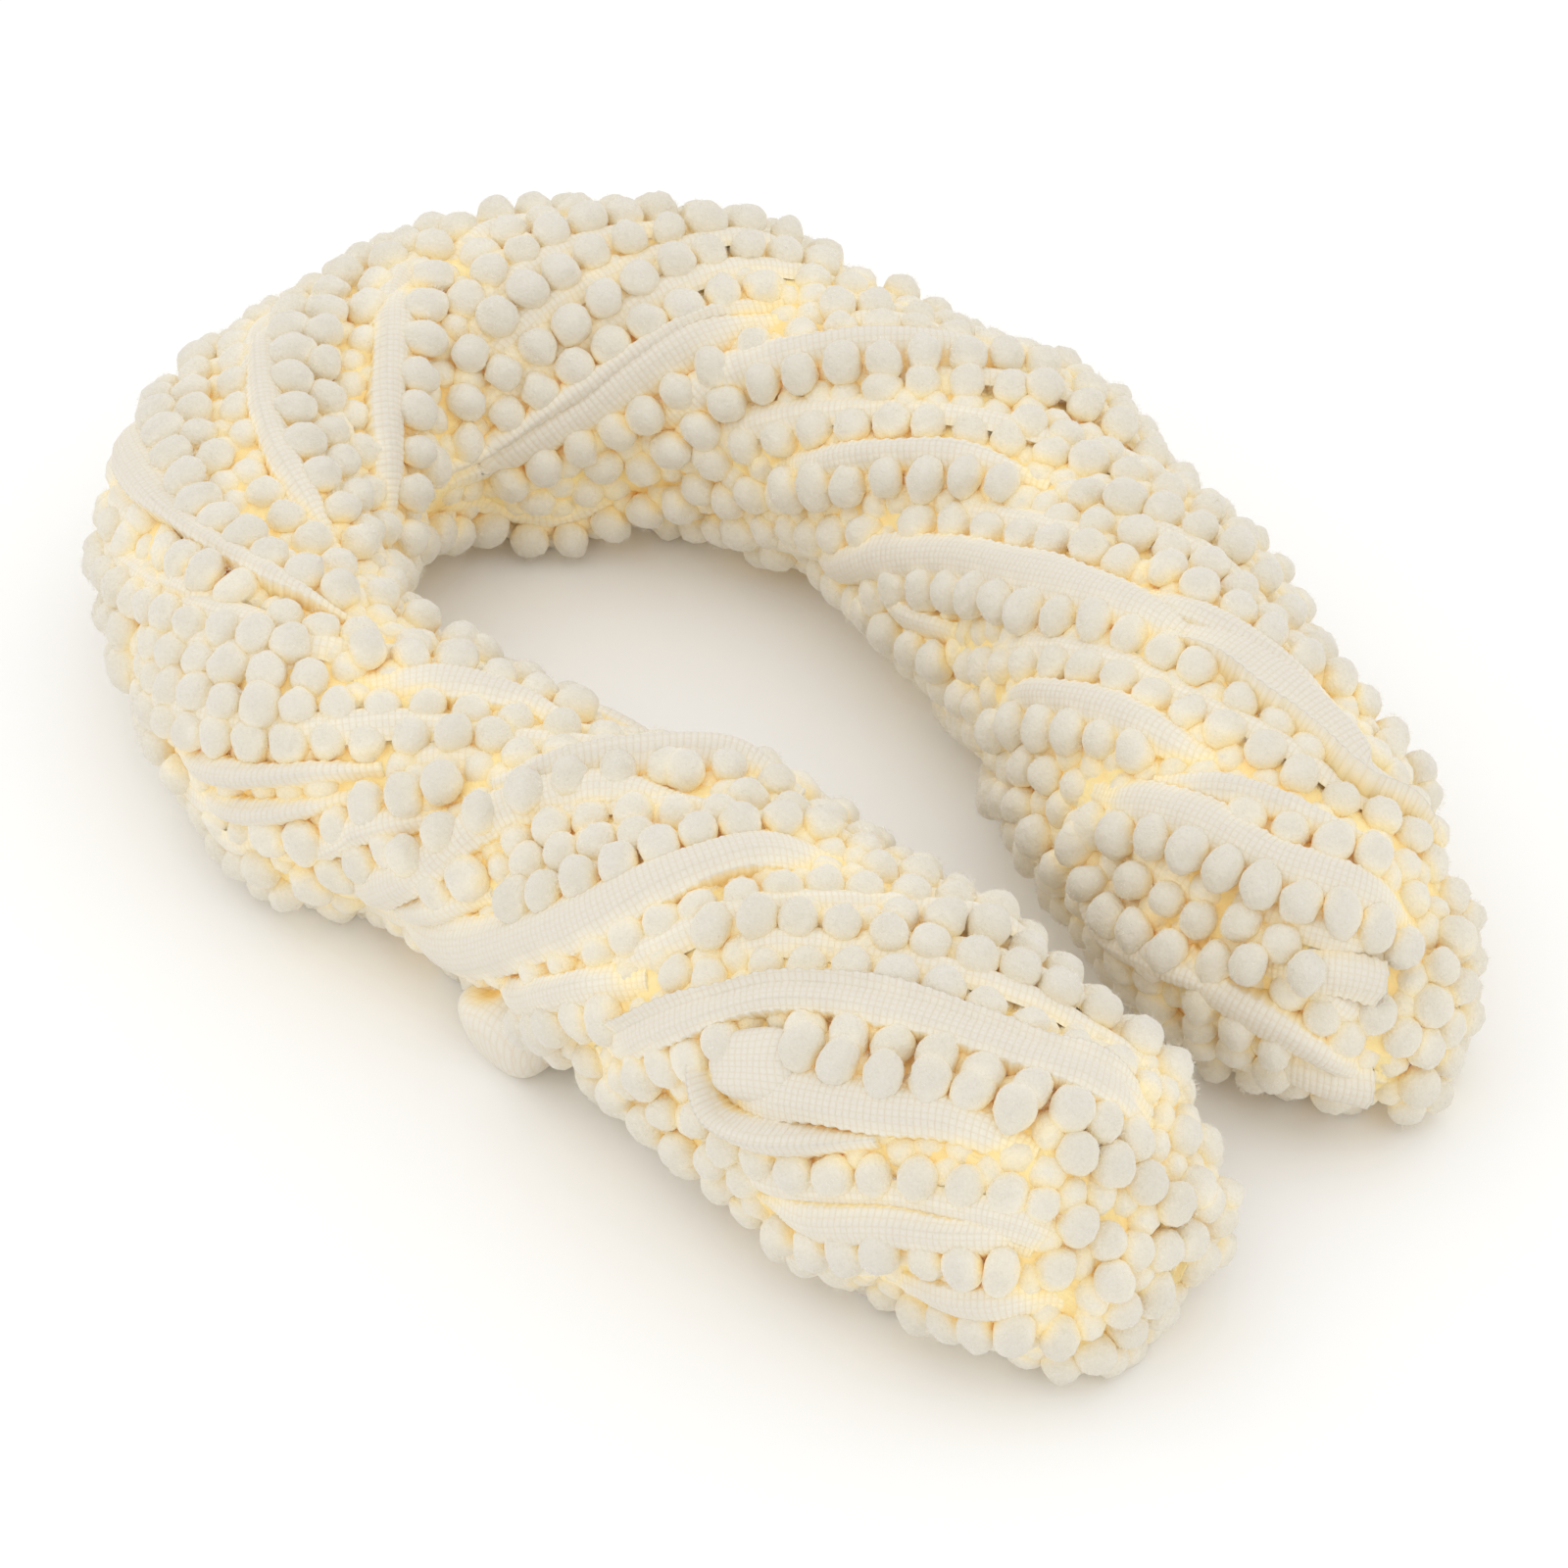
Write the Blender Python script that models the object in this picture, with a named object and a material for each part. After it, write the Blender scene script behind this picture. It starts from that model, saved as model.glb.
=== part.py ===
"""A twisted hank of pompom fringe trim, bent into a U and lying flat.

The hank is one solid.  A round section runs along a U-shaped route on the floor, the main twists of
the trim wind round it as lobes, and a row of pompoms stands in the hollow beside each lobe.  A fold
of the trim bulges from the outer side of one arm.  The two cut ends of the trim's tape lie loose on
the other arm, near its open end.

Units are metres and +Z is up.  The hank rests on z = 0, and the origin is below the middle of it.
The bend is at -X and the open end of the U at +X.
"""

import math
from collections import namedtuple

import bmesh
import bpy
import numpy as np
from mathutils import Matrix, Vector

MM = 0.001

# Driving dimensions of the trim
POMPOM_DIAMETER = 6.5 * MM
POMPOM_PITCH = 8.8 * MM
TAPE_WIDTH = 6.5 * MM
TAPE_THICKNESS = 1.2 * MM

# Driving dimensions of the hank
SQUASH = 0.92  # height of the section over its width
LOBES = 7
LOBE_PROFILE = (0.0, 0.35, 1.0, 0.35)  # share of the hollow's depth, at each column of one lobe
LOBE_DEPTH = 3.0 * MM
RIDGE_INSET = 0.8 * MM  # from the outline that the pompoms reach in to the top of a lobe
TURN_LENGTH = 235 * MM  # along the route, for one full turn of the twist
FLAT_DEPTH = 3.5 * MM  # how far the resting weight flattens the underside
RING_SPACING = 11.0 * MM
POMPOM_REACH = math.radians(106)  # the pompoms stop here, measured from the top of the section
END_MARGIN = 5.0 * MM  # no pompom stands nearer to an end of the route
SEAT_GAP = 0.3 * MM

# The route of the hank's middle line, from the open end of one arm round the bend to that of the
# other, with the radius out to the tops of the pompoms.  All in millimetres.
Station = namedtuple("Station", "x y radius")
ROUTE = (
    Station(119.0, -52.0, 19.0),
    Station(113.0, -52.5, 24.5),
    Station(94.0, -53.0, 29.0),
    Station(72.0, -54.5, 31.0),
    Station(38.0, -51.5, 31.0),
    Station(5.0, -49.0, 27.5),
    Station(-25.0, -49.5, 25.5),
    Station(-53.0, -51.0, 26.5),
    Station(-80.0, -35.0, 26.0),
    Station(-95.0, -10.0, 26.5),
    Station(-96.0, 18.0, 27.5),
    Station(-77.0, 42.0, 27.5),
    Station(-47.0, 56.0, 28.0),
    Station(-20.0, 56.0, 29.0),
    Station(10.0, 50.5, 28.0),
    Station(44.0, 36.5, 31.0),
    Station(73.0, 20.0, 30.0),
    Station(92.0, 15.0, 28.0),
    Station(108.0, 19.5, 24.5),
    Station(115.0, 22.5, 19.0),
)
ROUTE_STEP = 1.0 * MM

# The fold that bulges low on the outer side of the front arm, in millimetres
Fold = namedtuple("Fold", "x y z half_length half_width half_height")
FRONT_FOLD = Fold(9.0, -69.5, 7.4, 9.0, 6.5, 7.0)

# The cut ends of the tape: where each starts along the route and round the section, how far it runs
# and how far it turns round the section on the way, in millimetres and degrees
LooseEnd = namedtuple("LooseEnd", "name place angle length turn")
LOOSE_ENDS = (
    LooseEnd("loose_end_low", 474.0, -108.0, 19.0, 4.0),
    LooseEnd("loose_end_high", 475.0, -62.0, 18.0, 14.0),
)
LOOSE_END_STEPS = 6
LOOSE_END_COLUMNS = 3
POMPOM_CLEARANCE = 0.8 * MM  # from a loose end to the pompoms beside it

CREAM = (0.93, 0.88, 0.74, 1.0)
CREAM_SHADE = (0.90, 0.84, 0.68, 1.0)
YARN_ROUGHNESS = 0.92


def clear_scene():
    """Remove every object of the open scene."""
    for obj in list(bpy.data.objects):
        bpy.data.objects.remove(obj, do_unlink=True)


def new_collection(name):
    collection = bpy.data.collections.new(name)
    bpy.context.scene.collection.children.link(collection)
    return collection


def new_material(name, colour):
    material = bpy.data.materials.new(name)
    material.use_nodes = True
    shader = material.node_tree.nodes["Principled BSDF"]
    shader.inputs["Base Color"].default_value = colour
    shader.inputs["Roughness"].default_value = YARN_ROUGHNESS
    shader.inputs["Metallic"].default_value = 0.0
    return material


def new_object(name, mesh_builder, collection, material):
    """Make an object from a bmesh, which is freed."""
    bmesh.ops.recalc_face_normals(mesh_builder, faces=mesh_builder.faces)
    mesh = bpy.data.meshes.new(name)
    mesh_builder.to_mesh(mesh)
    mesh_builder.free()
    mesh.materials.append(material)
    obj = bpy.data.objects.new(name, mesh)
    collection.objects.link(obj)
    return obj


def smooth_route():
    """The route as even steps along one smooth curve: arrays of length, x, y and radius."""
    rows = np.array(ROUTE) * MM
    knots = np.concatenate([[0.0], np.cumsum(np.hypot(*np.diff(rows[:, :2], axis=0).T))])
    gaps = np.diff(knots)
    slopes = np.diff(rows, axis=0) / gaps[:, None]
    tangents = np.empty_like(rows)
    tangents[0] = slopes[0]
    tangents[-1] = slopes[-1]
    weight = (gaps[1:] / (gaps[1:] + gaps[:-1]))[:, None]
    tangents[1:-1] = slopes[:-1] * weight + slopes[1:] * (1 - weight)

    samples = np.linspace(0.0, knots[-1], 2000)
    span = np.clip(np.searchsorted(knots, samples, side="right") - 1, 0, len(gaps) - 1)
    gap = gaps[span][:, None]
    t = ((samples - knots[span]) / gaps[span])[:, None]
    curve = (
        (2 * t**3 - 3 * t**2 + 1) * rows[span]
        + (t**3 - 2 * t**2 + t) * gap * tangents[span]
        + (3 * t**2 - 2 * t**3) * rows[span + 1]
        + (t**3 - t**2) * gap * tangents[span + 1]
    )
    length = np.concatenate([[0.0], np.cumsum(np.hypot(*np.diff(curve[:, :2], axis=0).T))])
    even = np.linspace(0.0, length[-1], int(length[-1] / ROUTE_STEP) + 1)
    return even, *(np.interp(even, length, curve[:, i]) for i in range(3))


class Hank:
    """The wound form: turns a place along the route and an angle round it into a point."""

    def __init__(self):
        self.along, self.x, self.y, self.radius = smooth_route()
        self.length = self.along[-1]
        step_x = np.gradient(self.x, self.along)
        step_y = np.gradient(self.y, self.along)
        size = np.hypot(step_x, step_y)
        self.out_x = -step_y / size
        self.out_y = step_x / size

    def at(self, place, values):
        return float(np.interp(place, self.along, values))

    def point(self, place, angle, inset):
        """The angle is from the top, and grows towards the outer side of the U."""
        radius = self.at(place, self.radius) - inset
        middle_height = self.at(place, self.radius) * SQUASH - FLAT_DEPTH
        sideways = radius * math.sin(angle)
        height = middle_height + radius * SQUASH * math.cos(angle)
        return Vector(
            (
                self.at(place, self.x) + self.at(place, self.out_x) * sideways,
                self.at(place, self.y) + self.at(place, self.out_y) * sideways,
                max(height, 0.0),
            )
        )

    def middle(self, place):
        height = self.at(place, self.radius) * SQUASH - FLAT_DEPTH
        return Vector((self.at(place, self.x), self.at(place, self.y), height))

    def twist(self, place):
        return 2 * math.pi * place / TURN_LENGTH


def ring_places(hank):
    count = round(hank.length / RING_SPACING)
    return [hank.length * i / count for i in range(count + 1)]


def column_inset(column):
    return RIDGE_INSET + LOBE_DEPTH * LOBE_PROFILE[column % len(LOBE_PROFILE)]


def surface_inset(hank, place, angle):
    """How deep the lobed surface lies below the outline, between the columns too."""
    columns = LOBES * len(LOBE_PROFILE)
    position = (angle - hank.twist(place)) * columns / (2 * math.pi)
    before = math.floor(position)
    share = position - before
    return column_inset(before) * (1 - share) + column_inset(before + 1) * share


def wound_body(hank):
    """The lobed section swept along the route, its columns turning with the twist."""
    columns = LOBES * len(LOBE_PROFILE)
    builder = bmesh.new()
    rings = []
    for place in ring_places(hank):
        ring = []
        for column in range(columns):
            angle = 2 * math.pi * column / columns + hank.twist(place)
            ring.append(builder.verts.new(hank.point(place, angle, column_inset(column))))
        rings.append(ring)
    for ring, after in zip(rings, rings[1:]):
        for column in range(columns):
            beside = (column + 1) % columns
            builder.faces.new((ring[column], ring[beside], after[beside], after[column]))
    builder.faces.new(rings[0])
    builder.faces.new(list(reversed(rings[-1])))
    bmesh.ops.triangulate(builder, faces=builder.faces)
    return builder


def add_pompom(builder, centre, outward):
    """A ball of four sides and three bands, with its pole pointing outward."""
    turn = Vector((0, 0, 1)).rotation_difference(outward).to_matrix().to_4x4()
    bmesh.ops.create_uvsphere(
        builder,
        u_segments=4,
        v_segments=3,
        radius=POMPOM_DIAMETER / 2,
        matrix=Matrix.Translation(centre) @ turn,
    )


def wrapped(angle):
    return (angle + math.pi) % (2 * math.pi) - math.pi


def is_under_loose_end(hank, place, angle):
    """Whether a pompom here would run into one of the loose ends."""
    radius = hank.at(place, hank.radius)
    room = (TAPE_WIDTH + POMPOM_DIAMETER) / 2 + POMPOM_CLEARANCE
    for end in LOOSE_ENDS:
        share = (place / MM - end.place) / end.length
        margin = room / (end.length * MM)
        _, end_angle = loose_end_middle(end, share)
        if -margin < share < 1 + margin and abs(wrapped(angle - end_angle)) * radius < room:
            return True
    return False


def pompom_rows(hank):
    """Every pompom's middle and outward direction, evenly spaced along the hollow of each lobe."""
    hollow = LOBE_PROFILE.index(max(LOBE_PROFILE))
    hollow_angle = 2 * math.pi * hollow / (LOBES * len(LOBE_PROFILE))
    inset = POMPOM_DIAMETER / 2
    lowest = POMPOM_DIAMETER / 2
    found = []
    for lobe in range(LOBES):
        start = hollow_angle + 2 * math.pi * lobe / LOBES
        run = 0.0
        before = None
        for place in np.arange(END_MARGIN, hank.length - END_MARGIN, ROUTE_STEP):
            angle = start + hank.twist(place)
            centre = hank.point(place, angle, inset)
            run += (centre - before).length if before else POMPOM_PITCH
            before = centre
            if run < POMPOM_PITCH:
                continue
            run -= POMPOM_PITCH
            if is_under_loose_end(hank, place, angle):
                continue
            if abs(wrapped(angle)) < POMPOM_REACH and centre.z > lowest:
                found.append((centre, (centre - hank.middle(place)).normalized()))
    return found


def raised_forms(hank):
    """The pompoms and the bulging fold, which the hank is joined with."""
    builder = bmesh.new()
    for centre, outward in pompom_rows(hank):
        add_pompom(builder, centre, outward)
    fold = FRONT_FOLD
    half_sizes = Vector((fold.half_length, fold.half_width, fold.half_height)) * MM
    bmesh.ops.create_uvsphere(
        builder,
        u_segments=10,
        v_segments=6,
        radius=1.0,
        matrix=Matrix.Translation(Vector((fold.x, fold.y, fold.z)) * MM)
        @ Matrix.Diagonal(half_sizes).to_4x4(),
    )
    return builder


def join(obj, other):
    """A Boolean union, with the other object kept as a hidden helper."""
    other.hide_render = True
    other.display_type = "WIRE"
    union = obj.modifiers.new("join_" + other.name, "BOOLEAN")
    union.operation = "UNION"
    union.solver = "EXACT"
    union.object = other


def build_hank(hank, parts, helpers, material):
    body = new_object("hank", wound_body(hank), parts, material)
    join(body, new_object("raised_forms", raised_forms(hank), helpers, material))
    return body


def loose_end_middle(end, share):
    """The place and angle of a loose end's middle line, at a share of its length."""
    place = (end.place + share * end.length) * MM
    return place, math.radians(end.angle + share * end.turn)


def tape_strip(hank, end):
    """A loose end: a thin strip of tape that lies on the lobes and bends with them."""
    builder = bmesh.new()
    sections = []
    for step in range(LOOSE_END_STEPS + 1):
        place, middle_angle = loose_end_middle(end, step / LOOSE_END_STEPS)
        half_angle = TAPE_WIDTH / 2 / hank.at(place, hank.radius)
        angles = [
            middle_angle + half_angle * (2 * column / (LOOSE_END_COLUMNS - 1) - 1)
            for column in range(LOOSE_END_COLUMNS)
        ]
        highest = min(surface_inset(hank, place, angle) for angle in angles)
        inset = highest - SEAT_GAP
        below = [hank.point(place, angle, inset) for angle in angles]
        above = [hank.point(place, angle, inset - TAPE_THICKNESS) for angle in angles]
        sections.append([builder.verts.new(point) for point in below + above[::-1]])
    around = 2 * LOOSE_END_COLUMNS
    for near, far in zip(sections, sections[1:]):
        for i in range(around):
            beside = (i + 1) % around
            builder.faces.new((near[i], near[beside], far[beside], far[i]))
    builder.faces.new(sections[0])
    builder.faces.new(list(reversed(sections[-1])))
    bmesh.ops.triangulate(builder, faces=builder.faces)
    return builder


def main():
    clear_scene()
    parts = new_collection("pompom_trim_hank")
    helpers = new_collection("helpers")
    yarn = new_material("cream_yarn", CREAM)
    tape = new_material("cream_tape", CREAM_SHADE)
    hank = Hank()
    build_hank(hank, parts, helpers, yarn)
    for end in LOOSE_ENDS:
        new_object(end.name, tape_strip(hank, end), parts, tape)


main()
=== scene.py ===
"""The looks of a twisted hank of pompom fringe trim, bent into a U and lying flat.

The hank's outline is the one that its solid has: a round section along a U-shaped route.  A place
on it is a length along the route and an angle round the section, from the top and growing towards
the outer side of the U.  The strands of tape that show are listed in those two numbers.  Rows
of pompoms then fill the rest, running beside the tapes as the fine turns of the trim do.

Sizes are in millimetres and angles in degrees unless a name says otherwise.
"""

import math
from collections import namedtuple

import bmesh
import bpy
import numpy as np
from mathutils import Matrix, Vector


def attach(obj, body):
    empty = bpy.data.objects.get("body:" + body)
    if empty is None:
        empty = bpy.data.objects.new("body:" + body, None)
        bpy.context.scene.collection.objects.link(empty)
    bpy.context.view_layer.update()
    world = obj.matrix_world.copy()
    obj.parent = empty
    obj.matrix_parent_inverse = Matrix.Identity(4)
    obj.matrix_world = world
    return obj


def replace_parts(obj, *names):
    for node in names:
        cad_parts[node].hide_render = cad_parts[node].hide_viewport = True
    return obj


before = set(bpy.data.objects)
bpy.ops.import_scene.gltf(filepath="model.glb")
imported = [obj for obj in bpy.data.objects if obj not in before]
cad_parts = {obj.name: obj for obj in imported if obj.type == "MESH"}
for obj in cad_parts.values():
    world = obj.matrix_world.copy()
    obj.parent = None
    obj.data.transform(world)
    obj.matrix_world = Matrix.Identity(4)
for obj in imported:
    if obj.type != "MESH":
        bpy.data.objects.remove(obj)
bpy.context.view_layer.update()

MM = 0.001
draw = np.random.RandomState(31)

# The trim
POMPOM_DIAMETER = 6.25
POMPOM_RADIUS = POMPOM_DIAMETER / 2
LOWEST_POMPOM = POMPOM_RADIUS * 0.94  # the height of a pompom's middle where it rests on the floor
POMPOM_PITCH = 6.9
POMPOM_INSET = 2.5  # from the hank's outline to the middle of a pompom
TAPE_WIDTH = 6.6
TAPE_THICKNESS = 0.9
RIB_PITCH = 1.06
RIB_HEIGHT = 0.07
WALE_PITCH = 0.98

# The hank
SQUASH = 0.92  # its height as a share of its width
FLAT_DEPTH = 3.5  # how much of the round section is missing where it lies on the floor
END_DOME = 6.0  # how far the ends bulge past the ends of the route
ROUTE_SAMPLES = 2000
STEEPEST = 3.0  # the steepest slope of the outline along the route
TURN_LENGTH = 235.0
CORE_INSET = 5.1

# The rows of pompoms
ROW_SPACING = 6.3
ROW_OVERRUN = END_DOME * 0.8  # how far past the ends of the route they go
HELD_REACH = 1.4  # from a tape's edge to the middle of the pompoms that it holds
HELD_INSET = 2.2
HELD_LONGER = 1.17  # a pompom's size away from its tape, as a share of its size along it
HELD_TUCK = 0.8
LIPPED_REACH = 2.6  # the same two for a lipped tape
LIPPED_INSET = 3.4
ROW_LONGER = 1.03
ROW_TUCK = 1.6
ROW_DEEPER = (-0.3, 1.5)  # how much deeper than usual a whole row may lie

# The route: x, y and the radius of the section
ROUTE = (
    (119.0, -52.0, 19.0), (113.0, -52.5, 24.5), (94.0, -53.0, 29.0), (72.0, -54.5, 31.0),
    (38.0, -51.5, 31.0), (5.0, -49.0, 27.5), (-25.0, -49.5, 25.5), (-53.0, -51.0, 26.5),
    (-80.0, -35.0, 26.0), (-95.0, -10.0, 26.5), (-96.0, 18.0, 27.5), (-77.0, 42.0, 27.5),
    (-47.0, 56.0, 28.0), (-20.0, 56.0, 29.0), (10.0, 50.5, 28.0), (44.0, 36.5, 31.0),
    (73.0, 20.0, 30.0), (92.0, 15.0, 28.0), (108.0, 19.5, 24.5), (115.0, 22.5, 19.0),
)

# Where the pile stands prouder than the solid's outline, or lies lower: place, angle, height, and
# the reach along the route.  Each reaches SWELL_ANGLE round the outline.
SWELL_ANGLE = math.radians(38.0)
SWELLINGS = (
    (-8, -122, -2.4, 9), (-4, 140, -1.6, 12), (0, -80, 3.0, 11), (42, 124, 2.0, 14),
    (48, -56, 3.8, 10), (98, -48, 2.4, 10), (145, 126, -1.6, 8), (157, 124, 3.2, 10),
    (186, 100, -1.4, 10), (200, 90, -1.2, 10), (217, 72, 4.2, 15), (237, 60, 1.4, 14),
    (235, -120, -1.6, 10), (257, 46, -1.0, 9), (291, 38, 2.8, 20), (311, 42, 1.8, 8),
    (284, -132, 4.4, 15), (345, 47, -2.8, 16), (352, -126, -2.6, 12), (370, 57, 3.8, 14),
    (398, 54, 1.4, 14), (388, -116, 2.2, 12), (428, 64, -2.4, 11), (462, 68, 3.4, 22),
    (502, 90, -2.0, 8),
)

# How a tape lies: its depth below the outline at even columns, from its free edge to the edge that
# holds the pompoms
LIES = {
    "flat": (2.3, 0.7, 0.5, 1.1, 3.4),
    "leaning": (1.2, 0.3, 0.7, 1.6, 3.8),
    "folded": (2.4, 0.6, 0.1, 0.8, 3.4),
    "lipped": (0.0, 1.3, 0.7, 0.5, 1.5),
    "sunk": (5.2, 4.0, 3.6, 3.8, 5.0),
    "proud": (2.8, -0.6, -1.8, -0.8, 2.6),
}

# The strands whose tape shows.  Side is +1 where the pompoms hang from the edge at the larger
# angle.  The width is one number, or several at even places along the strand.  The path is made of
# places and angles.
Strand = namedtuple("Strand", "side width lie path")
STRANDS = [Strand(*row) for row in (
    # The bend
    (1, 6.0, "flat", ((247, 38), (234, 14), (215, -8), (193, -38))),
    (1, 7.0, "flat", ((264, 10), (253, -14), (236, -40), (221, -60), (212, -76))),
    (1, (9.5, 9.5, 8.5, 5.4, 4.0, 3.4, 3.0), "leaning",
     ((232, 76), (219, 54), (207, 36), (196, 19), (186, 4), (176, -9), (166, -23))),
    (1, 5.5, "flat", ((199, 50), (190, 34), (182, 20))),
    # The front arm
    (1, (7.4, 8.8, 8.0, 6.4), "flat", ((159, 9), (149, -8), (138, -21), (124, -34))),
    (-1, 4.2, "folded", ((176, 88), (160, 59), (146, 38))),
    (1, 4.2, "folded", ((172, 98), (158, 72), (146, 50))),
    (1, 5.0, "leaning", ((160, 98), (148, 73), (139, 55), (130, 36))),
    (1, 7.6, "flat", ((151, 118), (140, 90), (131, 68), (121, 30), (111, 6), (97, -12))),
    (-1, 7.5, "proud", ((126, 24), (118, 5), (110, -14), (101, -34), (90, -46))),
    (1, 4.6, "folded", ((141, 104), (127, 84), (116, 62))),
    (1, 9.4, "flat", ((140, 112), (124, 98), (106, 71), (93, 46), (86, 22), (80, 0), (72, -26))),
    (-1, (8.0, 6.6, 6.0, 6.0, 6.8, 8.6, 4.4), "lipped",
     ((86, 91), (77, 77), (71, 64), (63, 46), (57, 33), (49, 22), (40, 14), (29, 7), (17, -4),
      (9, -15), (5, -31))),
    (1, (2.8, 3.2, 3.6, 4.6, 5.2, 5.0, 4.4), "proud",
     ((66, 55), (63, 63), (60, 70), (56, 75), (50, 73), (43, 65), (35, 54))),
    (1, (12.0, 10.6, 9.0, 7.6, 6.4, 5.6), "flat",
     ((61, 60), (52, 57), (45, 51), (35, 43), (26, 35), (12, 26))),
    (-1, 6.6, "flat", ((50, 106), (42, 96), (32, 84), (17, 71), (6, 57))),
    (-1, 7.2, "flat", ((32, 121), (24, 109), (9, 90), (1, 73))),
    (-1, 7.0, "flat", ((114, 116), (107, 102), (99, 89), (92, 77), (85, 66), (78, 56))),
    (1, 3.6, "folded", ((85, 92), (81, 103), (74, 110), (63, 113))),
    # The back arm
    (1, 3.8, "folded",
     ((234, -76), (255, -78), (272, -74), (286, -61), (299, -44), (311, -25), (324, -2))),
    (-1, 6.4, "leaning",
     ((240, -92), (257, -90), (273, -84), (288, -70), (301, -54), (313, -35), (326, -12))),
    (-1, 6.8, "flat",
     ((304, -76), (312, -62), (321, -43), (334, -26), (344, -8), (352, 9), (361, 40))),
    (-1, 5.6, "flat", ((341, -72), (360, -44), (377, -18), (387, -3))),
    (-1, (6.0, 7.0, 7.6, 9.0, 9.6, 8.6, 7.6), "flat",
     ((348, -112), (362, -94), (374, -71), (385, -55), (409, -33), (426, -13), (439, 8))),
    (1, 8.6, "lipped", ((428, -6), (443, 14), (460, 28), (478, 36), (494, 56))),
    (1, 6.6, "leaning", ((420, -6), (432, 9), (444, 30), (453, 50))),
    (-1, 6.0, "leaning", ((366, -92), (385, -84), (402, -74))),
    (-1, 6.6, "flat", ((419, -76), (433, -53), (447, -28), (460, -10))),
    (-1, 5.0, "folded", ((456, -34), (464, -17), (471, -6), (480, 2), (488, 8))),
    (-1, 7.8, "flat", ((450, -56), (458, -42), (468, -28), (478, -23), (488, -19), (496, -12))),
    (1, 4.6, "folded", ((450, -74), (457, -82), (464, -87), (470, -80), (475, -76), (479, -92))),
    (-1, (5.0, 6.4, 6.4, 5.4, 3.6), "flat",
     ((468, -72), (475, -78), (482, -84), (489, -93), (496, -104))),
    (-1, 6.0, "sunk", ((232, -92), (247, -105), (262, -116), (280, -121), (296, -115), (312, -98))),
)]

# Strands on the side that faces away, laid by rule: their first and last starts, how many there
# are, the angle of each start, and how far they run
UNSEEN = (
    (20, 130, 4, -128, 52),  # inside the U
    (190, 470, 7, 100, 60),  # outside it, low
    (215, 440, 5, 62, 46),  # outside it, higher
)
UNSEEN_SWAY = 6
LAST_PLACE = 500  # beyond it no such strand ends

# The two cut ends of the tape, as the solids have them
LooseEnd = namedtuple("LooseEnd", "name place angle length turn")
LOOSE_ENDS = (
    LooseEnd("loose_end_low", 474.0, -108.0, 19.0, 4.0),
    LooseEnd("loose_end_high", 475.0, -62.0, 18.0, 14.0),
)
LOOSE_SAMPLES = 60
LOOSE_LIFT = 0.2  # of a flat tape, so that its free end lies on the pompoms
LOOSE_DIVE = 14.0
LOOSE_DIVES = (1.4, 0.0)  # at the root and at the cut end
LOOSE_HIDDEN = 0.74  # the share of a loose end that the pompoms cover
RAGGED = 0.22
RAGGED_SHARES = (1.0, 0.6, 0.3)  # how much of it the last rows have, from the cut inwards

# The smooth fold that bulges from the outer side of the front arm, as the solid has it: its middle,
# and half its length, width and height
FRONT_FOLD = ((8.2, -69.5, 7.9), (8.6, 6.8, 8.0))
FRONT_TAPER = -0.1

# Smaller smooth folds of tape: name, place, angle, inset, lean and half sizes
LUMPS = (
    ("front_lump", 54.0, 54.0, 3.6, 30.0, (7.6, 6.2, 3.6)),
    ("back_lump", 470.0, -80.0, 2.6, 80.0, (3.4, 3.0, 2.6)),
)
LUMP_TAPER = 0.25

# Hollows where nothing stands up, so that the painted warm shade of the depth shows: place, angle
# and reach
CLEARINGS = (
    (59.0, 66.0, 3.6), (55.0, 64.0, 4.6), (53.0, 54.0, 6.0),
    (51.0, 68.0, 4.5), (9.0, 30.0, 3.4), (4.0, 22.0, 3.4),
)

# Single pompoms, listed one by one: place, angle and inset
LAID_POMPOMS = ((477.5, -60.0, 1.6), (483.0, -56.0, 1.4))

# The parts of the U, and the place where each ends
REGIONS = (("front_arm", 158.0), ("bend", 300.0), ("back_arm", math.inf))
OPEN_REACH = math.radians(132)  # beyond this angle a pompom lies underneath
DEEP_POMPOM = 5.5  # a pompom deeper than this shows only at the bottom of a hollow


def lengths(points):
    """The length along a line of points, at each of them."""
    return np.concatenate([[0.0], np.cumsum(np.linalg.norm(np.diff(points, axis=0), axis=1))])


def unit(vectors):
    """The vectors at a length of 1."""
    return vectors / np.maximum(np.linalg.norm(vectors, axis=-1, keepdims=True), 1e-9)


def hump(distance, reach):
    """1 where the distance is 0, and almost nothing beyond twice the reach."""
    return np.exp(-((distance / reach) ** 2))


def squares(points, point):
    """The square of each point's distance from one point."""
    gaps = points - point
    return np.einsum("ij,ij->i", gaps, gaps)


def wrapped(angle):
    """The angle in radians from half a turn below 0 to half a turn above it."""
    return (angle + math.pi) % (2 * math.pi) - math.pi


def region_of(place):
    """The part of the U that a place belongs to."""
    return next(name for name, end in REGIONS if place < end)


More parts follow.
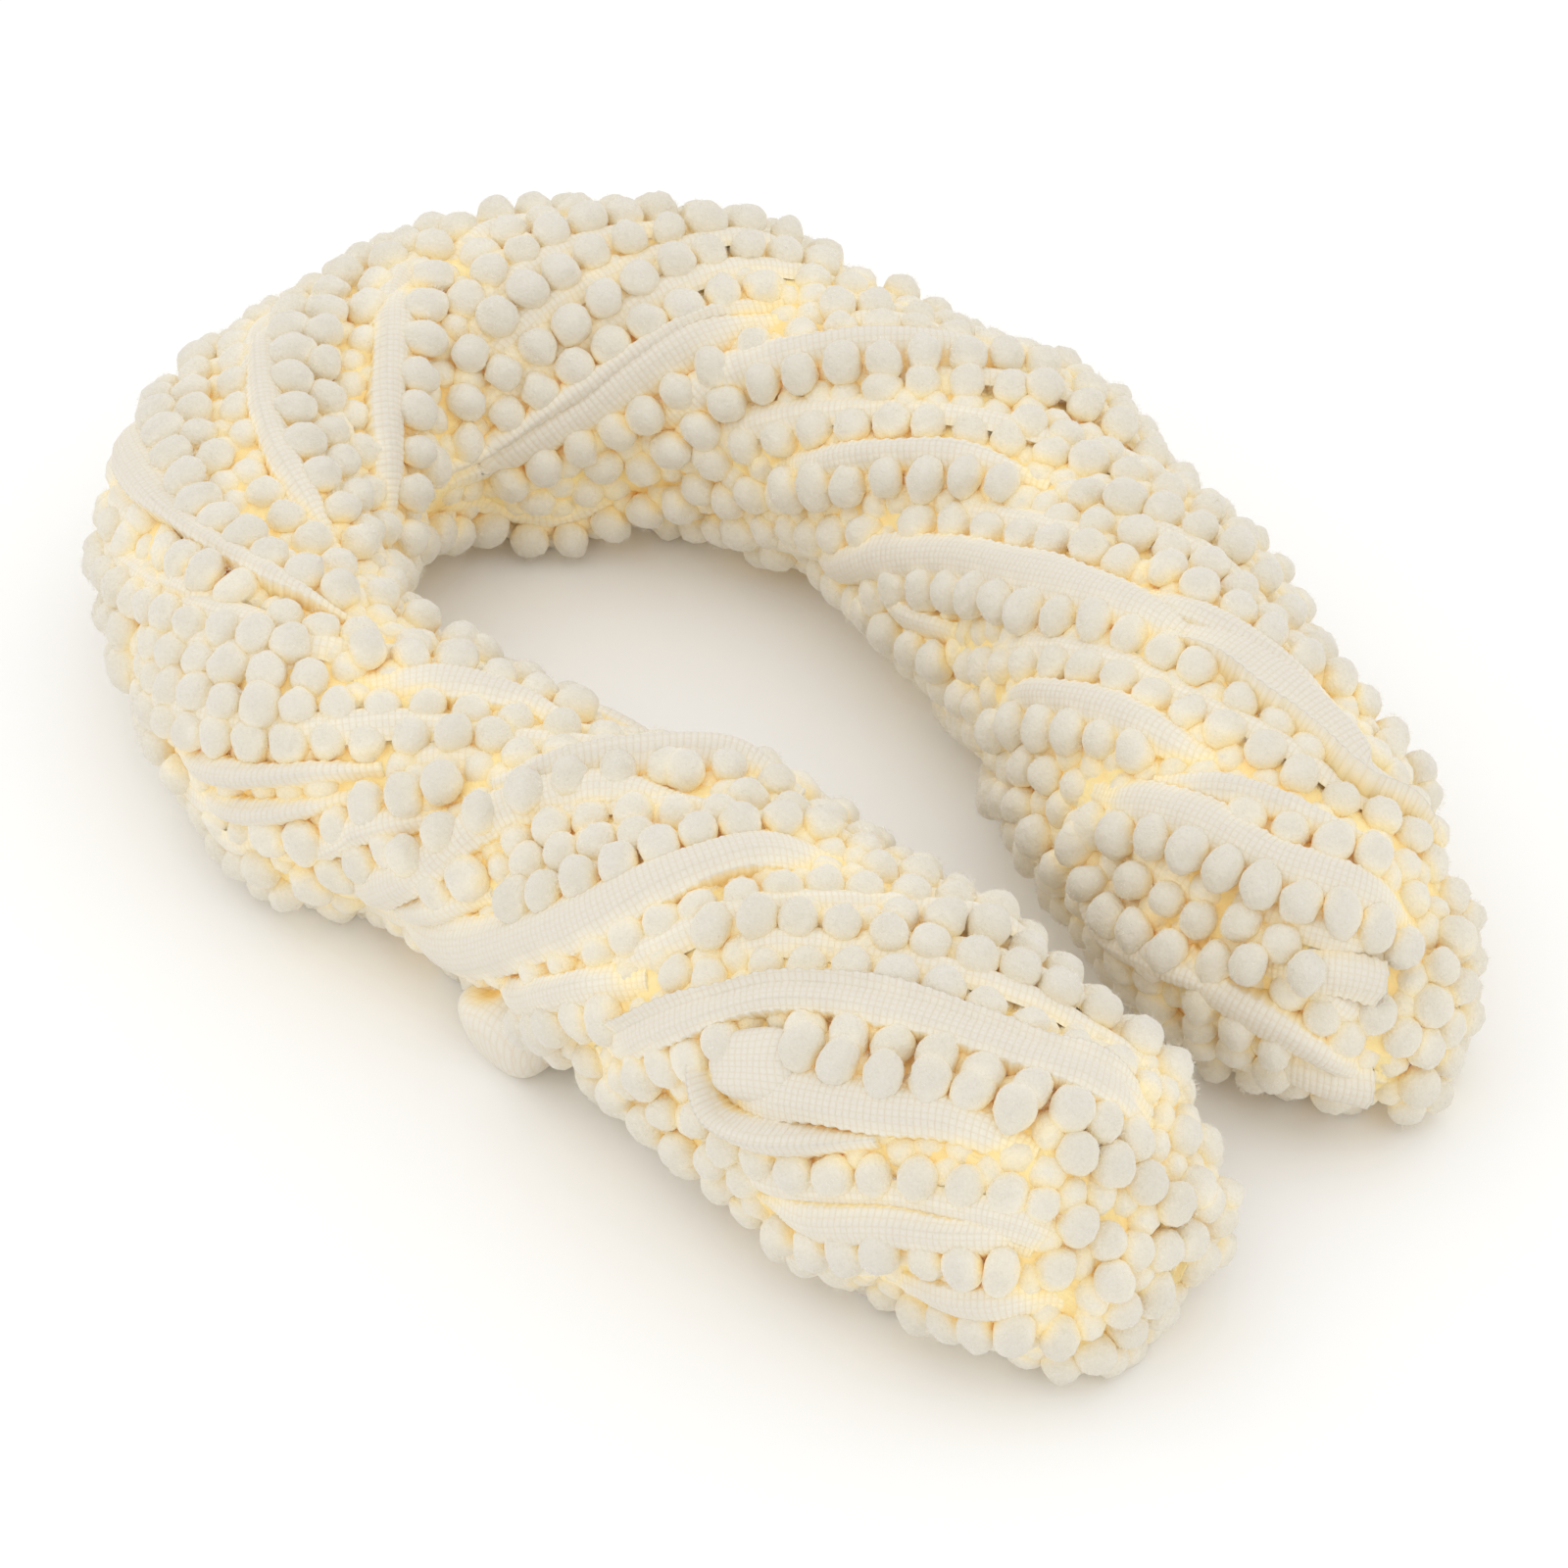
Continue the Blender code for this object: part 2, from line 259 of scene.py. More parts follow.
def smooth(rows, spacing, count):
    """Count rows on a smooth curve through the given rows, which lie the given spacing apart."""
    rows = np.array(rows, float)
    knots = np.concatenate([[0.0], np.cumsum(spacing)])
    gaps = np.diff(knots)
    slopes = np.diff(rows, axis=0) / gaps[:, None]
    tangents = np.empty_like(rows)
    tangents[0] = slopes[0]
    tangents[-1] = slopes[-1]
    weight = (gaps[1:] / (gaps[1:] + gaps[:-1]))[:, None]
    tangents[1:-1] = slopes[:-1] * weight + slopes[1:] * (1 - weight)
    samples = np.linspace(0.0, knots[-1], count)
    span = np.clip(np.searchsorted(knots, samples, side="right") - 1, 0, len(gaps) - 1)
    gap = gaps[span][:, None]
    t = ((samples - knots[span]) / gaps[span])[:, None]
    return (
        (2 * t**3 - 3 * t**2 + 1) * rows[span]
        + (t**3 - 2 * t**2 + t) * gap * tangents[span]
        + (3 * t**2 - 2 * t**3) * rows[span + 1]
        + (t**3 - t**2) * gap * tangents[span + 1]
    )


class Hank:
    """The outline of the hank: turns a place and an angle in radians into a point."""

    def __init__(self):
        rows = np.array(ROUTE)
        curve = smooth(rows, np.hypot(*np.diff(rows[:, :2], axis=0).T), ROUTE_SAMPLES)
        run = lengths(curve[:, :2])
        self.length = run[-1]
        self.along = np.linspace(0.0, self.length, int(self.length) + 1)
        x, y, radius = (np.interp(self.along, run, row) for row in curve.T)
        ahead = unit(np.stack([np.gradient(x), np.gradient(y)], axis=1)).T
        self.rows = (x, y, radius, *ahead, np.gradient(radius, self.along))
        self.swellings = np.array(SWELLINGS, float).T

    def has_rows(self, place):
        """Whether rows of pompoms go as far as the place."""
        return -ROW_OVERRUN < place < self.length + ROW_OVERRUN

    def sections(self, place):
        """Middle, direction ahead, direction outwards, radius and its slope, at each place."""
        inside = np.clip(place, 0.0, self.length)
        x, y, radius, *ahead, slope = (np.interp(inside, self.along, row) for row in self.rows)
        past = place - inside
        fall = np.sqrt(np.maximum(1 - (past / END_DOME) ** 2, 1e-4))
        slope = np.where(past != 0.0, -radius * past / (END_DOME**2 * fall), slope)
        ahead = unit(np.stack([*ahead, np.zeros_like(x)], axis=-1))
        beside = np.stack([-ahead[..., 1], ahead[..., 0], ahead[..., 2]], axis=-1)
        middle = np.stack([x, y, radius * SQUASH - FLAT_DEPTH], axis=-1)
        return middle + ahead * past[..., None], ahead, beside, radius * fall, slope

    def surface(self, place, angle):
        """The point of the outline and the direction out of it."""
        place = np.asarray(place, float)
        angle = np.asarray(angle, float)
        middle, ahead, beside, radius, slope = self.sections(place)
        sideways = np.sin(angle)[..., None]
        up = np.cos(angle)[..., None] * np.array([0.0, 0.0, 1.0])
        point = middle + radius[..., None] * (beside * sideways + up * SQUASH)
        out = unit(beside * sideways * SQUASH + up)
        out = unit(out - ahead * np.clip(slope, -STEEPEST, STEEPEST)[..., None])
        return point + out * self.rise(place, angle)[..., None], out

    def rise(self, place, angle):
        """How far the pile stands above the solid's outline."""
        places, angles, heights, reaches = self.swellings
        turn = wrapped(angle[..., None] - np.radians(angles))
        apart = ((place[..., None] - places) / reaches) ** 2 + (turn / SWELL_ANGLE) ** 2
        return np.exp(-apart) @ heights

    def trace(self, line):
        """The points of the outline along a line of places and angles."""
        return self.surface(line[:, 0], line[:, 1])[0]

    def point(self, place, angle, inset):
        """A point inset below the outline, and no lower than the floor."""
        point, out = self.surface(place, angle)
        point = point - out * np.asarray(inset, float)[..., None]
        point[..., 2] = np.maximum(point[..., 2], 0.0)
        return point

    def stretch(self, place, angle):
        """Millimetres on the surface for one of place, and for one radian."""
        step = 0.5
        turn = 0.02
        least_ahead = 0.25
        least_round = 2.0
        ahead = self.surface(place + step, angle)[0] - self.surface(place - step, angle)[0]
        round_it = self.surface(place, angle + turn)[0] - self.surface(place, angle - turn)[0]
        return (
            np.maximum(np.linalg.norm(ahead, axis=-1) / (2 * step), least_ahead),
            np.maximum(np.linalg.norm(round_it, axis=-1) / (2 * turn), least_round),
        )


hank = Hank()

STRAND_SAMPLES = 200
MEAN_RADIUS = 27.0  # turns radians into millimetres where little depends on it


def even_line(line, step):
    """A line of places and angles, read again at even lengths on the surface."""
    run = lengths(hank.trace(line))
    even = np.linspace(0.0, run[-1], max(int(round(run[-1] / step)), 2) + 1)
    return np.stack([np.interp(even, run, numbers) for numbers in line.T], axis=1)


def strand_line(path, step):
    """The middle line of a strand, at even steps."""
    rows = np.array([(place, math.radians(angle)) for place, angle in path])
    spacing = np.hypot(np.diff(rows[:, 0]), np.diff(rows[:, 1]) * MEAN_RADIUS)
    return even_line(smooth(rows, spacing, STRAND_SAMPLES), step)


def half_widths(strand, line):
    """Half of a strand's width at each point of its line."""
    widths = np.atleast_1d(strand.width)
    shares = np.linspace(0.0, 1.0, len(line))
    return np.interp(shares, np.linspace(0.0, 1.0, len(widths)), widths) / 2


def directions(line):
    """At each point of a line on the surface: the point, its outward, onward and sideways units."""
    point, out = hank.surface(line[:, 0], line[:, 1])
    onward = unit(np.gradient(point, axis=0))
    onward = unit(onward - out * np.sum(onward * out, axis=1, keepdims=True))
    return point, out, onward, np.cross(out, onward)


def course(line):
    """The stretch at each point of a line, and its steps ahead and round in millimetres."""
    ahead, round_it = hank.stretch(line[:, 0], line[:, 1])
    steps = [np.gradient(line[:, 0]) * ahead, np.gradient(line[:, 1]) * round_it]
    return ahead, round_it, np.stack(steps, axis=1)


def shifted(line, distance):
    """The line moved sideways over the surface, towards larger angles for a positive distance."""
    ahead, round_it, steps = course(line)
    onward = unit(steps)
    moved = line.copy()
    moved[:, 0] -= distance * onward[:, 1] / ahead
    moved[:, 1] += distance * onward[:, 0] / round_it
    return moved


def unseen_strands():
    """The strands of the side that faces away."""
    strands = []
    for first, last, count, angle, length in UNSEEN:
        for number in range(count):
            start = first + (last - first) * (number / (count - 1))
            path = []
            for share in (0.0, 0.33, 0.66, 1.0):
                turn = angle + 360 / TURN_LENGTH * length * share
                path.append((start + length * share, turn + UNSEEN_SWAY * math.sin(3 * share)))
            if path[-1][0] < LAST_PLACE:
                side = 1 if number % 2 else -1
                strands.append(Strand(side, TAPE_WIDTH, "flat", path))
    return strands


class Flow:
    """The direction in which the trim runs, at every place and angle, as it does in the strands."""

    PLACE_STEP = 2.0
    ANGLE_STEP = math.radians(4.0)
    REACH = 9.0
    TWIST_WEIGHT = 0.6

    def __init__(self, lines):
        self.first = -END_DOME
        places = np.arange(self.first, hank.length + END_DOME, self.PLACE_STEP)
        angles = np.arange(0.0, 2 * math.pi - 1e-6, self.ANGLE_STEP)
        place, angle = np.meshgrid(places, angles, indexing="ij")
        ahead, round_it = hank.stretch(place, angle)
        spots = hank.surface(place, angle)[0].reshape(-1, 3)
        twist = unit(np.stack([ahead, round_it * 2 * math.pi / TURN_LENGTH], axis=-1))
        total = twist.reshape(-1, 2) * self.TWIST_WEIGHT
        for line in lines:
            onward = course(line)[2]
            onward = unit(onward * np.sign(onward[:, :1] + 1e-9))
            gap = np.linalg.norm(spots[:, None] - hank.trace(line)[None], axis=2)
            total += hump(gap, self.REACH) @ onward
        total = unit(total).reshape(place.shape + (2,))
        self.rates = np.stack([total[..., 0] / ahead, total[..., 1] / round_it], axis=-1)

    def rate(self, place, angle):
        """Change of place and angle for each millimetre along the trim."""
        row = int(np.clip(round((place - self.first) / self.PLACE_STEP), 0, len(self.rates) - 1))
        column = int(round(angle / self.ANGLE_STEP)) % self.rates.shape[1]
        return self.rates[row, column]


class Taken:
    """Points that are taken, and whether another is too near to them."""

    def __init__(self, points, spare=1):
        self.points = np.concatenate([points, np.zeros((spare, 3))])
        self.count = len(points)

    def add(self, points):
        points = np.atleast_2d(points)
        self.points[self.count : self.count + len(points)] = points
        self.count += len(points)

    def near(self, point, room):
        return bool(np.any(squares(self.points[: self.count], point) < room * room))


LINE_STEP = 1.2
STOP_SHARE = 0.74  # of the spacing: a row ends where it comes as near to another
SEED_SHARE = 0.98  # of the spacing: a row begins no nearer to another
SEED_STEP = 3  # every third point of a line may begin a row beside it
SHORTEST_ROW = 9.0
LONGEST_ROW = 210.0
MOST_ROW_POINTS = 30000


def traced(flow, start, sense, taken):
    """A line that follows the flow from the start until it comes near to what is taken."""
    place, angle = start
    line = []
    for _ in range(int(LONGEST_ROW / 2 / LINE_STEP)):
        ahead, turn = flow.rate(place, angle)
        place += sense * LINE_STEP * ahead
        angle += sense * LINE_STEP * turn
        if not hank.has_rows(place):
            break
        if taken.near(hank.surface(place, angle)[0], ROW_SPACING * STOP_SHARE):
            break
        line.append((place, angle))
    return line


def fill_with_rows(flow, taken, lines):
    """Rows side by side over the whole outline, beginning beside the lines that are there."""
    rows = []
    waiting = list(lines)
    while waiting:
        line = waiting.pop(0)
        for side in (1, -1):
            for seed in shifted(line, side * ROW_SPACING)[::SEED_STEP]:
                if not hank.has_rows(seed[0]):
                    continue
                if taken.near(hank.surface(*seed)[0], ROW_SPACING * SEED_SHARE):
                    continue
                back = traced(flow, seed, -1, taken)
                onward = traced(flow, seed, 1, taken)
                row = np.array(back[::-1] + [tuple(seed)] + onward)
                if len(row) * LINE_STEP >= SHORTEST_ROW:
                    taken.add(hank.trace(row))
                    rows.append(row)
                    waiting.append(row)
    return rows


Pompom = namedtuple("Pompom", "place angle centre onward sideways out depth longer")

# How much one pompom differs from the next, as standard deviations
DEPTH_SPREAD = 0.22
ASIDE_SPREAD = 0.25
PITCH_SPREAD = 0.045
SIZE_SPREAD = 0.035
STRETCH_SPREAD = 0.03
LONGER_SPREAD = 0.07
SKEW_SPREAD = 0.22  # radians
MEAN_LONGER = 0.03
MEAN_ALONG = 0.985  # its size along the row, as a share

FIRST_SPOT = (0.35, 0.65)  # of the pitch, from the end of a row to its first pompom
ROW_WAVE = 0.35  # how far a row rises and sinks along its length
WAVE_LENGTH = 11.0  # of one radian of that wave
TUCK_LENGTH = 7.0  # how far from its ends a row dips


def rested(centre):
    """The middle of a pompom, raised to where it rests on the floor if it was lower."""
    centre[2] = max(centre[2], LOWEST_POMPOM)
    return centre


def pompoms_on(line, side, inset, tuck, longer):
    """Pompoms along a line, which hang to the given side.  Tuck is how far its ends dip."""
    found = []
    point, out, onward, sideways = directions(line)
    run = lengths(point)
    wave = draw.uniform(0.0, 2 * math.pi)
    spot = POMPOM_PITCH * draw.uniform(*FIRST_SPOT)
    while spot < run[-1]:
        place, angle = (np.interp(spot, run, numbers) for numbers in line.T)
        at = min(int(np.searchsorted(run, spot)), len(run) - 1)
        to_end = min(spot, run[-1] - spot)
        depth = inset + tuck * math.exp(-to_end / TUCK_LENGTH)
        depth += ROW_WAVE * math.sin(spot / WAVE_LENGTH + wave)
        depth += draw.normal(0.0, DEPTH_SPREAD)
        centre = hank.surface(place, angle)[0] - out[at] * depth
        centre = rested(centre + sideways[at] * draw.normal(0.0, ASIDE_SPREAD))
        away = sideways[at] * side
        found.append(Pompom(place, angle, centre, onward[at], away, out[at], depth, longer))
        spot += POMPOM_PITCH * draw.normal(1.0, PITCH_SPREAD)
    return found


def single_pompom(flow, place, angle, inset):
    """A pompom that belongs to no row, turned the way the trim runs there."""
    surface, out = hank.surface(place, angle)
    ahead, turn = flow.rate(place, angle)
    further = hank.surface(place + ahead, angle + turn)[0] - surface
    onward = unit(further - out * np.dot(further, out))
    centre = rested(surface - out * inset)
    return Pompom(place, angle, centre, onward, np.cross(out, onward), out, inset, ROW_LONGER)


# The passes of single pompoms over the hollows: how much deeper than usual they lie, the room that
# they need from others and from tapes, and how far from the top they go
FILLINGS = ((1.5, 5.9, 4.6, math.pi), (3.6, 4.2, 2.2, OPEN_REACH))
FILL_STEP = 2.0
LEAST_RING = 6.0  # the least millimetres for one radian, where the domes close
TIP_SHARES = (0.87, 0.93, 0.97, 0.99)  # of the domes at the ends, where the rows don't reach
MOST_POMPOMS = 6000


def fill_gaps(flow, pompoms, tape_points, deeper, room, tape_room, reach):
    """Single pompoms wherever the others leave a hollow within reach of the top."""
    found = []
    centres = Taken(np.array([pompom.centre for pompom in pompoms]), MOST_POMPOMS)
    tapes = Taken(tape_points)
    tips = END_DOME * np.array(TIP_SHARES)
    middle = np.arange(-ROW_OVERRUN, hank.length + ROW_OVERRUN, FILL_STEP)
    inset = POMPOM_INSET + deeper
    for place in np.concatenate([middle, -tips, hank.length + tips]):
        ring = max(hank.stretch(np.array(place), np.array(0.0))[1], LEAST_RING)
        for angle in np.arange(0.0, 2 * math.pi, FILL_STEP / float(ring)):
            if abs(wrapped(angle)) > reach:
                continue
            surface, out = hank.surface(place, angle)
            centre = rested(surface - out * inset)
            if not centres.near(centre, room) and not tapes.near(surface, tape_room):
                centres.add(centre)
                found.append(single_pompom(flow, place, angle, inset))
    return found


# The points and faces of one form, with each point's lengths along and across the tape, for the
# knit, and the depth of its painted warm shade: how deep it lies, and more near other pompoms
Form = namedtuple("Form", "points faces spots depths", defaults=(None, None))


def new_object(name, forms, material, smooth_faces=True):
    """One object of all the forms: points in millimetres, faces all of three or all of four."""
    firsts = np.cumsum([0] + [len(form.points) for form in forms])
    points, faces, spots, depths = zip(*forms)
    points = np.concatenate(points).astype(np.float32) * np.float32(MM)
    faces = np.concatenate([part + first for part, first in zip(faces, firsts)]).astype(np.int32)
    mesh = bpy.data.meshes.new(name)
    mesh.vertices.add(len(points))
    mesh.vertices.foreach_set("co", points.ravel())
    mesh.loops.add(faces.size)
    mesh.loops.foreach_set("vertex_index", faces.ravel())
    mesh.polygons.add(len(faces))
    starts = np.arange(0, faces.size, faces.shape[1], dtype=np.int32)
    mesh.polygons.foreach_set("loop_start", starts)
    mesh.update(calc_edges=True)
    mesh.polygons.foreach_set("use_smooth", np.full(len(faces), smooth_faces))
    if spots[0] is not None:
        spots = np.concatenate(spots).astype(np.float32)
        mesh.uv_layers.new(name="knit").data.foreach_set("uv", spots[faces.ravel()].ravel())
    # Each point's depth for the painted warm shade, which the materials read
    if depths[0] is not None:
        depths = np.concatenate(depths).astype(np.float32)
        mesh.attributes.new("depth", "FLOAT", "POINT").data.foreach_set("value", depths)
    mesh.materials.append(material)
    obj = bpy.data.objects.new(name, mesh)
    bpy.context.scene.collection.objects.link(obj)
    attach(obj, "root")
    return obj


def raised(points, height):
    """The points, raised to the given height where they are lower."""
    points[..., 2] = np.maximum(points[..., 2], height)
    return points


def ball(subdivisions):
    """The points and faces of a unit ball."""
    builder = bmesh.new()
    bmesh.ops.create_icosphere(builder, subdivisions=subdivisions, radius=1.0)
    points = np.array([vertex.co[:] for vertex in builder.verts])
    faces = np.array([[vertex.index for vertex in face.verts] for face in builder.faces])
    builder.free()
    return points, faces


LUMPS_OF_YARN = ((0.035, 2.2, 5), (0.016, 5.5, 7), (0.011, 11.0, 8))  # height, waves, how many


def lumps(points):
    """How far out each point of a ball of cut yarn lies, as a share of its radius."""
    total = np.zeros(len(points))
    for size, waves, count in LUMPS_OF_YARN:
        for _ in range(count):
            way = unit(draw.normal(size=3))
            total += size * np.cos(points @ way * waves + draw.uniform(0, 2 * math.pi))
    return 1.0 + total


def random_turns(count):
    """Random rotations as matrices."""
    w, x, y, z = unit(draw.normal(size=(count, 4))).T
    rows = (
        (1 - 2 * (y * y + z * z), 2 * (x * y - z * w), 2 * (x * z + y * w)),
        (2 * (x * y + z * w), 1 - 2 * (x * x + z * z), 2 * (y * z - x * w)),
        (2 * (x * z - y * w), 2 * (y * z + x * w), 1 - 2 * (x * x + y * y)),
    )
    return np.stack([np.stack(row, axis=1) for row in rows], axis=1)


# Painted warm shade, in the millimetres of the depth ramp, where light reaches the yarn only
# through other yarn
CREVICE_PAINTED_SHADE = 3.4
CREVICE_REACH = 1.1  # how far from a neighbour the painted warm shade reaches
CREVICE_SHARES = np.array([0.75, 0.25])  # of the nearest neighbour and the next
TAPE_PAINTED_SHADE = 2.2
TAPE_SHADE = 1.8
DROP_PAINTED_SHADE = 0.55  # of each millimetre below a pompom's own top: painted shade on its lower sides
INSET_PAINTED_SHADE = 0.42  # of each millimetre that a pompom lies deeper than usual
NEIGHBOUR_REACH = 2.2  # in diameters

SHAPES = 9
LEAST_HEIGHT = 0.05


def painted_shade_near(points, centres, own=None):
    """The painted warm shade of the points, for being close to pompoms."""
    gaps = np.linalg.norm(points[:, None] - centres[None], axis=2) - POMPOM_RADIUS
    if own is not None:
        gaps[:, own] = np.inf
    nearest = np.maximum(np.sort(gaps, axis=1)[:, :2], 0.0)
    return CREVICE_PAINTED_SHADE * np.exp(-nearest / CREVICE_REACH) @ CREVICE_SHARES


def add_pompoms(name, pompoms, everything, tape_points, subdivisions, material):
    """One object of many pompoms, each a lumpy ball that is a little longer away from its tape.

    Everything is the middle of each pompom that there is, and tape_points lie along the tapes'
    edges.  Returns each pompom's axes.
    """
    points, faces = ball(subdivisions)
    shapes = [points * lumps(points)[:, None] for _ in range(SHAPES)]
    forms = []
    frames = []
    for pompom, turn in zip(pompoms, random_turns(len(pompoms))):
        size = POMPOM_RADIUS * draw.normal(1.0, SIZE_SPREAD)
        longer = pompom.longer + abs(draw.normal(MEAN_LONGER, LONGER_SPREAD))
        along = draw.normal(MEAN_ALONG, STRETCH_SPREAD)
        stretch = np.array([along, longer, draw.normal(1.0, STRETCH_SPREAD)]) * size
        skew = draw.normal(0.0, SKEW_SPREAD)
        onward = pompom.onward * math.cos(skew) + pompom.sideways * math.sin(skew)
        sideways = pompom.sideways * math.cos(skew) - pompom.onward * math.sin(skew)
        axes = np.stack([onward, sideways, pompom.out], axis=1) * stretch
        offset = shapes[draw.randint(SHAPES)] @ turn.T @ axes.T
        spots = raised(pompom.centre + offset, LEAST_HEIGHT)
        # Painted warm shade: where the pompom touches its neighbours and the tape edges, on its
        # lower side, and where it lies deep
        apart = np.linalg.norm(everything - pompom.centre, axis=1)
        close = apart < NEIGHBOUR_REACH * POMPOM_DIAMETER
        around = everything[close]
        own = int(np.argmin(apart[close]))
        warm = painted_shade_near(spots, around, own) if len(around) > 2 else 0.0
        apart = np.linalg.norm(tape_points - pompom.centre, axis=1)
        beside = tape_points[apart < POMPOM_DIAMETER]
        if len(beside):
            gap = np.min(np.linalg.norm(spots[:, None] - beside[None], axis=2), axis=1)
            warm = warm + TAPE_PAINTED_SHADE * hump(gap, TAPE_SHADE)
        drop = POMPOM_RADIUS - offset @ pompom.out
        deeper = (pompom.depth - POMPOM_INSET) * INSET_PAINTED_SHADE
        forms.append(Form(spots, faces, None, warm + drop * DROP_PAINTED_SHADE + deeper))
        frames.append(axes)
    new_object(name, forms, material)
    return frames


FIBRES = 230
FIBRE_LENGTH = (0.35, 0.85)
FIBRE_WIDTH = 0.062
FIBRE_LEAN = 0.55
FIBRE_ROOT = 0.97  # of the way out to the yarn's surface
UNDER_FIBRE = -0.45  # no fibre stands lower than this on a pompom


def add_fuzz(name, pompoms, frames, material):
    """The fibre ends that stand out of the pompoms, each a sliver."""
    roots = []
    tips = []
    for pompom, axes in zip(pompoms, frames):
        ways = unit(draw.normal(size=(FIBRES, 3)))
        ways[:, 2] = np.where(ways[:, 2] < UNDER_FIBRE, -ways[:, 2], ways[:, 2])
        foot = ways @ axes.T
        lean = unit(foot) + draw.normal(size=(FIBRES, 3)) * FIBRE_LEAN
        size = draw.uniform(*FIBRE_LENGTH, size=(FIBRES, 1))
        roots.append(pompom.centre + foot * FIBRE_ROOT)
        tips.append(roots[-1] + unit(lean) * size)
    roots = np.concatenate(roots)
    tips = np.concatenate(tips)
    across = unit(np.cross(tips - roots, draw.normal(size=roots.shape))) * FIBRE_WIDTH / 2
    points = np.stack([roots - across, roots + across, tips], axis=1).reshape(-1, 3)
    faces = np.arange(len(points)).reshape(-1, 3)
    forms = [Form(raised(points, LEAST_HEIGHT), faces)]
    new_object(name, forms, material, smooth_faces=False)


TAPE_COLUMNS = (-1.0, -0.95, -0.74, -0.5, -0.25, 0.0, 0.25, 0.5, 0.74, 0.95, 1.0)
UNDER_COLUMNS = (10, 5, 0)  # those of the columns above that the underside has too
SAMPLES_A_RIB = 3
SAMPLES_OUT_OF_SIGHT = 2  # a rib, on the strands that the photo doesn't show
SCALLOP = 0.14  # how far every second rib stands out at the edges
WANDER = (0.25, 6.0)  # how far the edges wander, and the length of one radian of it
QUICK_WANDER = (0.15, 2.7)
SWAY = 0.5  # how far a tape tips from side to side
SWAY_LENGTH = 8.5
RIB_FADE = 0.6  # how much lower the ribs are at the edges
EDGE_THINNING = 0.75  # how much thinner the tape is there
DIVE_LENGTH = 10.0
DIVE_DEPTH = 4.2
TAPE_BEND = 28.0  # the radius to which a tape bends across the hank
TAPE_SEAT = 5.8
TAPE_HEIGHT = 0.1  # the least height of a tape above the floor
TAPE_INSET_SHADE = 0.8  # the painted warm shade of each millimetre that a tape lies deeper
SHOULDER = 0.2  # how far a tape's edge is square to it
# How much deeper a tape's shoulders count for the colour: painted shade on its edges
SHOULDER_SHADE_DEPTH = 1.6
UNDERSIDE_DEPTH = 6.0  # only for the colour, because no light falls straight on it


def wave(run, height, length):
    """A sine of that height at each length along a tape, with a radian for each given length."""
    return height * np.sin(run / length + draw.uniform(0, 6))


def dips(run, start, end, reach):
    """How far a tape dives at each length along it, from its two ends."""
    return start * hump(run, reach) + end * hump(run[-1] - run, reach)


def tape_surface(line, side, half_width, lie, ends=(1.0, 1.0), seat=0.0, reach=DIVE_LENGTH):
    """Points of a tape with their spots and the depth of painted shade at each: rings over the top
    and back underneath.

    The underside is no higher than the seat, where the tape's edges tuck in between the strands.
    """
    point, out, _, sideways = directions(line)
    run = lengths(point)
    share = np.array(TAPE_COLUMNS)[:, None]
    profile = np.interp(share, np.linspace(-1.0, 1.0, len(LIES[lie])), LIES[lie])
    rib = np.cos(2 * math.pi * run / RIB_PITCH)
    scallop = SCALLOP * np.cos(2 * math.pi * run / (2 * RIB_PITCH))
    wander = wave(run, *WANDER)
    wander += wave(run, *QUICK_WANDER)
    dive = DIVE_DEPTH * dips(run, *ends, reach)
    tip = wave(run, SWAY, SWAY_LENGTH)
    offset = share * (half_width + scallop + wander) * side
    inset = profile + dive + tip * share - RIB_HEIGHT * rib * (1.0 - RIB_FADE * abs(share) ** 6)
    drop = inset + offset**2 / (2 * TAPE_BEND)
    thick = TAPE_THICKNESS * (1.0 - EDGE_THINNING * abs(share) ** 8)
    middle = point + sideways * offset[..., None]
    top = middle - out * drop[..., None]
    bottom = middle - out * np.maximum(drop + thick, seat)[..., None]
    shoulders = top[[-1, 0]] - out * SHOULDER
    under = list(UNDER_COLUMNS)
    rings = np.concatenate([top, shoulders[:1], bottom[under], shoulders[1:]])
    spots = np.stack([np.broadcast_to(run, offset.shape), offset], axis=-1)
    back = [under[0], *under, under[-1]]
    shades = [SHOULDER_SHADE_DEPTH, *[UNDERSIDE_DEPTH] * len(under), SHOULDER_SHADE_DEPTH]
    spots = np.concatenate([spots, spots[back]])
    depths = np.concatenate([inset, inset[back] + np.array(shades)[:, None]])
    return rings.swapaxes(0, 1), spots.swapaxes(0, 1), depths.swapaxes(0, 1)


def ring_faces(rings, columns, flip):
    """Quads of a closed tube of rings, and its two ends fanned with quads."""
    row = np.arange(rings - 1)[:, None] * columns
    column = np.arange(columns)[None]
    beside = (column + 1) % columns
    corners = [row + column, row + beside, row + columns + beside, row + columns + column]
    quads = np.stack(corners, axis=-1).reshape(-1, 4)
    ends = []
    last = columns - 1
    for ring, turn in ((0, -1), (rings - 1, 1)):
        for i in range(columns // 2 - 1):
            quad = [ring * columns + k for k in (i, i + 1, last - i - 1, last - i)]
            ends.append(quad[::turn])
    faces = np.concatenate([quads, np.array(ends)])
    return faces[:, ::-1] if flip else faces


def tape_form(rings, spots, depths, flip):
    """A tape's rings as a form."""
    faces = ring_faces(rings.shape[0], rings.shape[1], flip)
    return Form(rings.reshape(-1, 3), faces, spots.reshape(-1, 2), depths)


def painted_shade_of_tape(points, centres):
    """The painted warm shade of a tape's points, each of which has its own neighbours."""
    batch = 2000
    reach = 8.0
    warm = np.zeros(len(points))
    for first in range(0, len(points), batch):
        part = points[first : first + batch]
        low, high = part.min(axis=0) - reach, part.max(axis=0) + reach
        near = centres[np.all((centres > low) & (centres < high), axis=1)]
        if len(near) > 2:
            warm[first : first + batch] = painted_shade_near(part, near)
    return warm


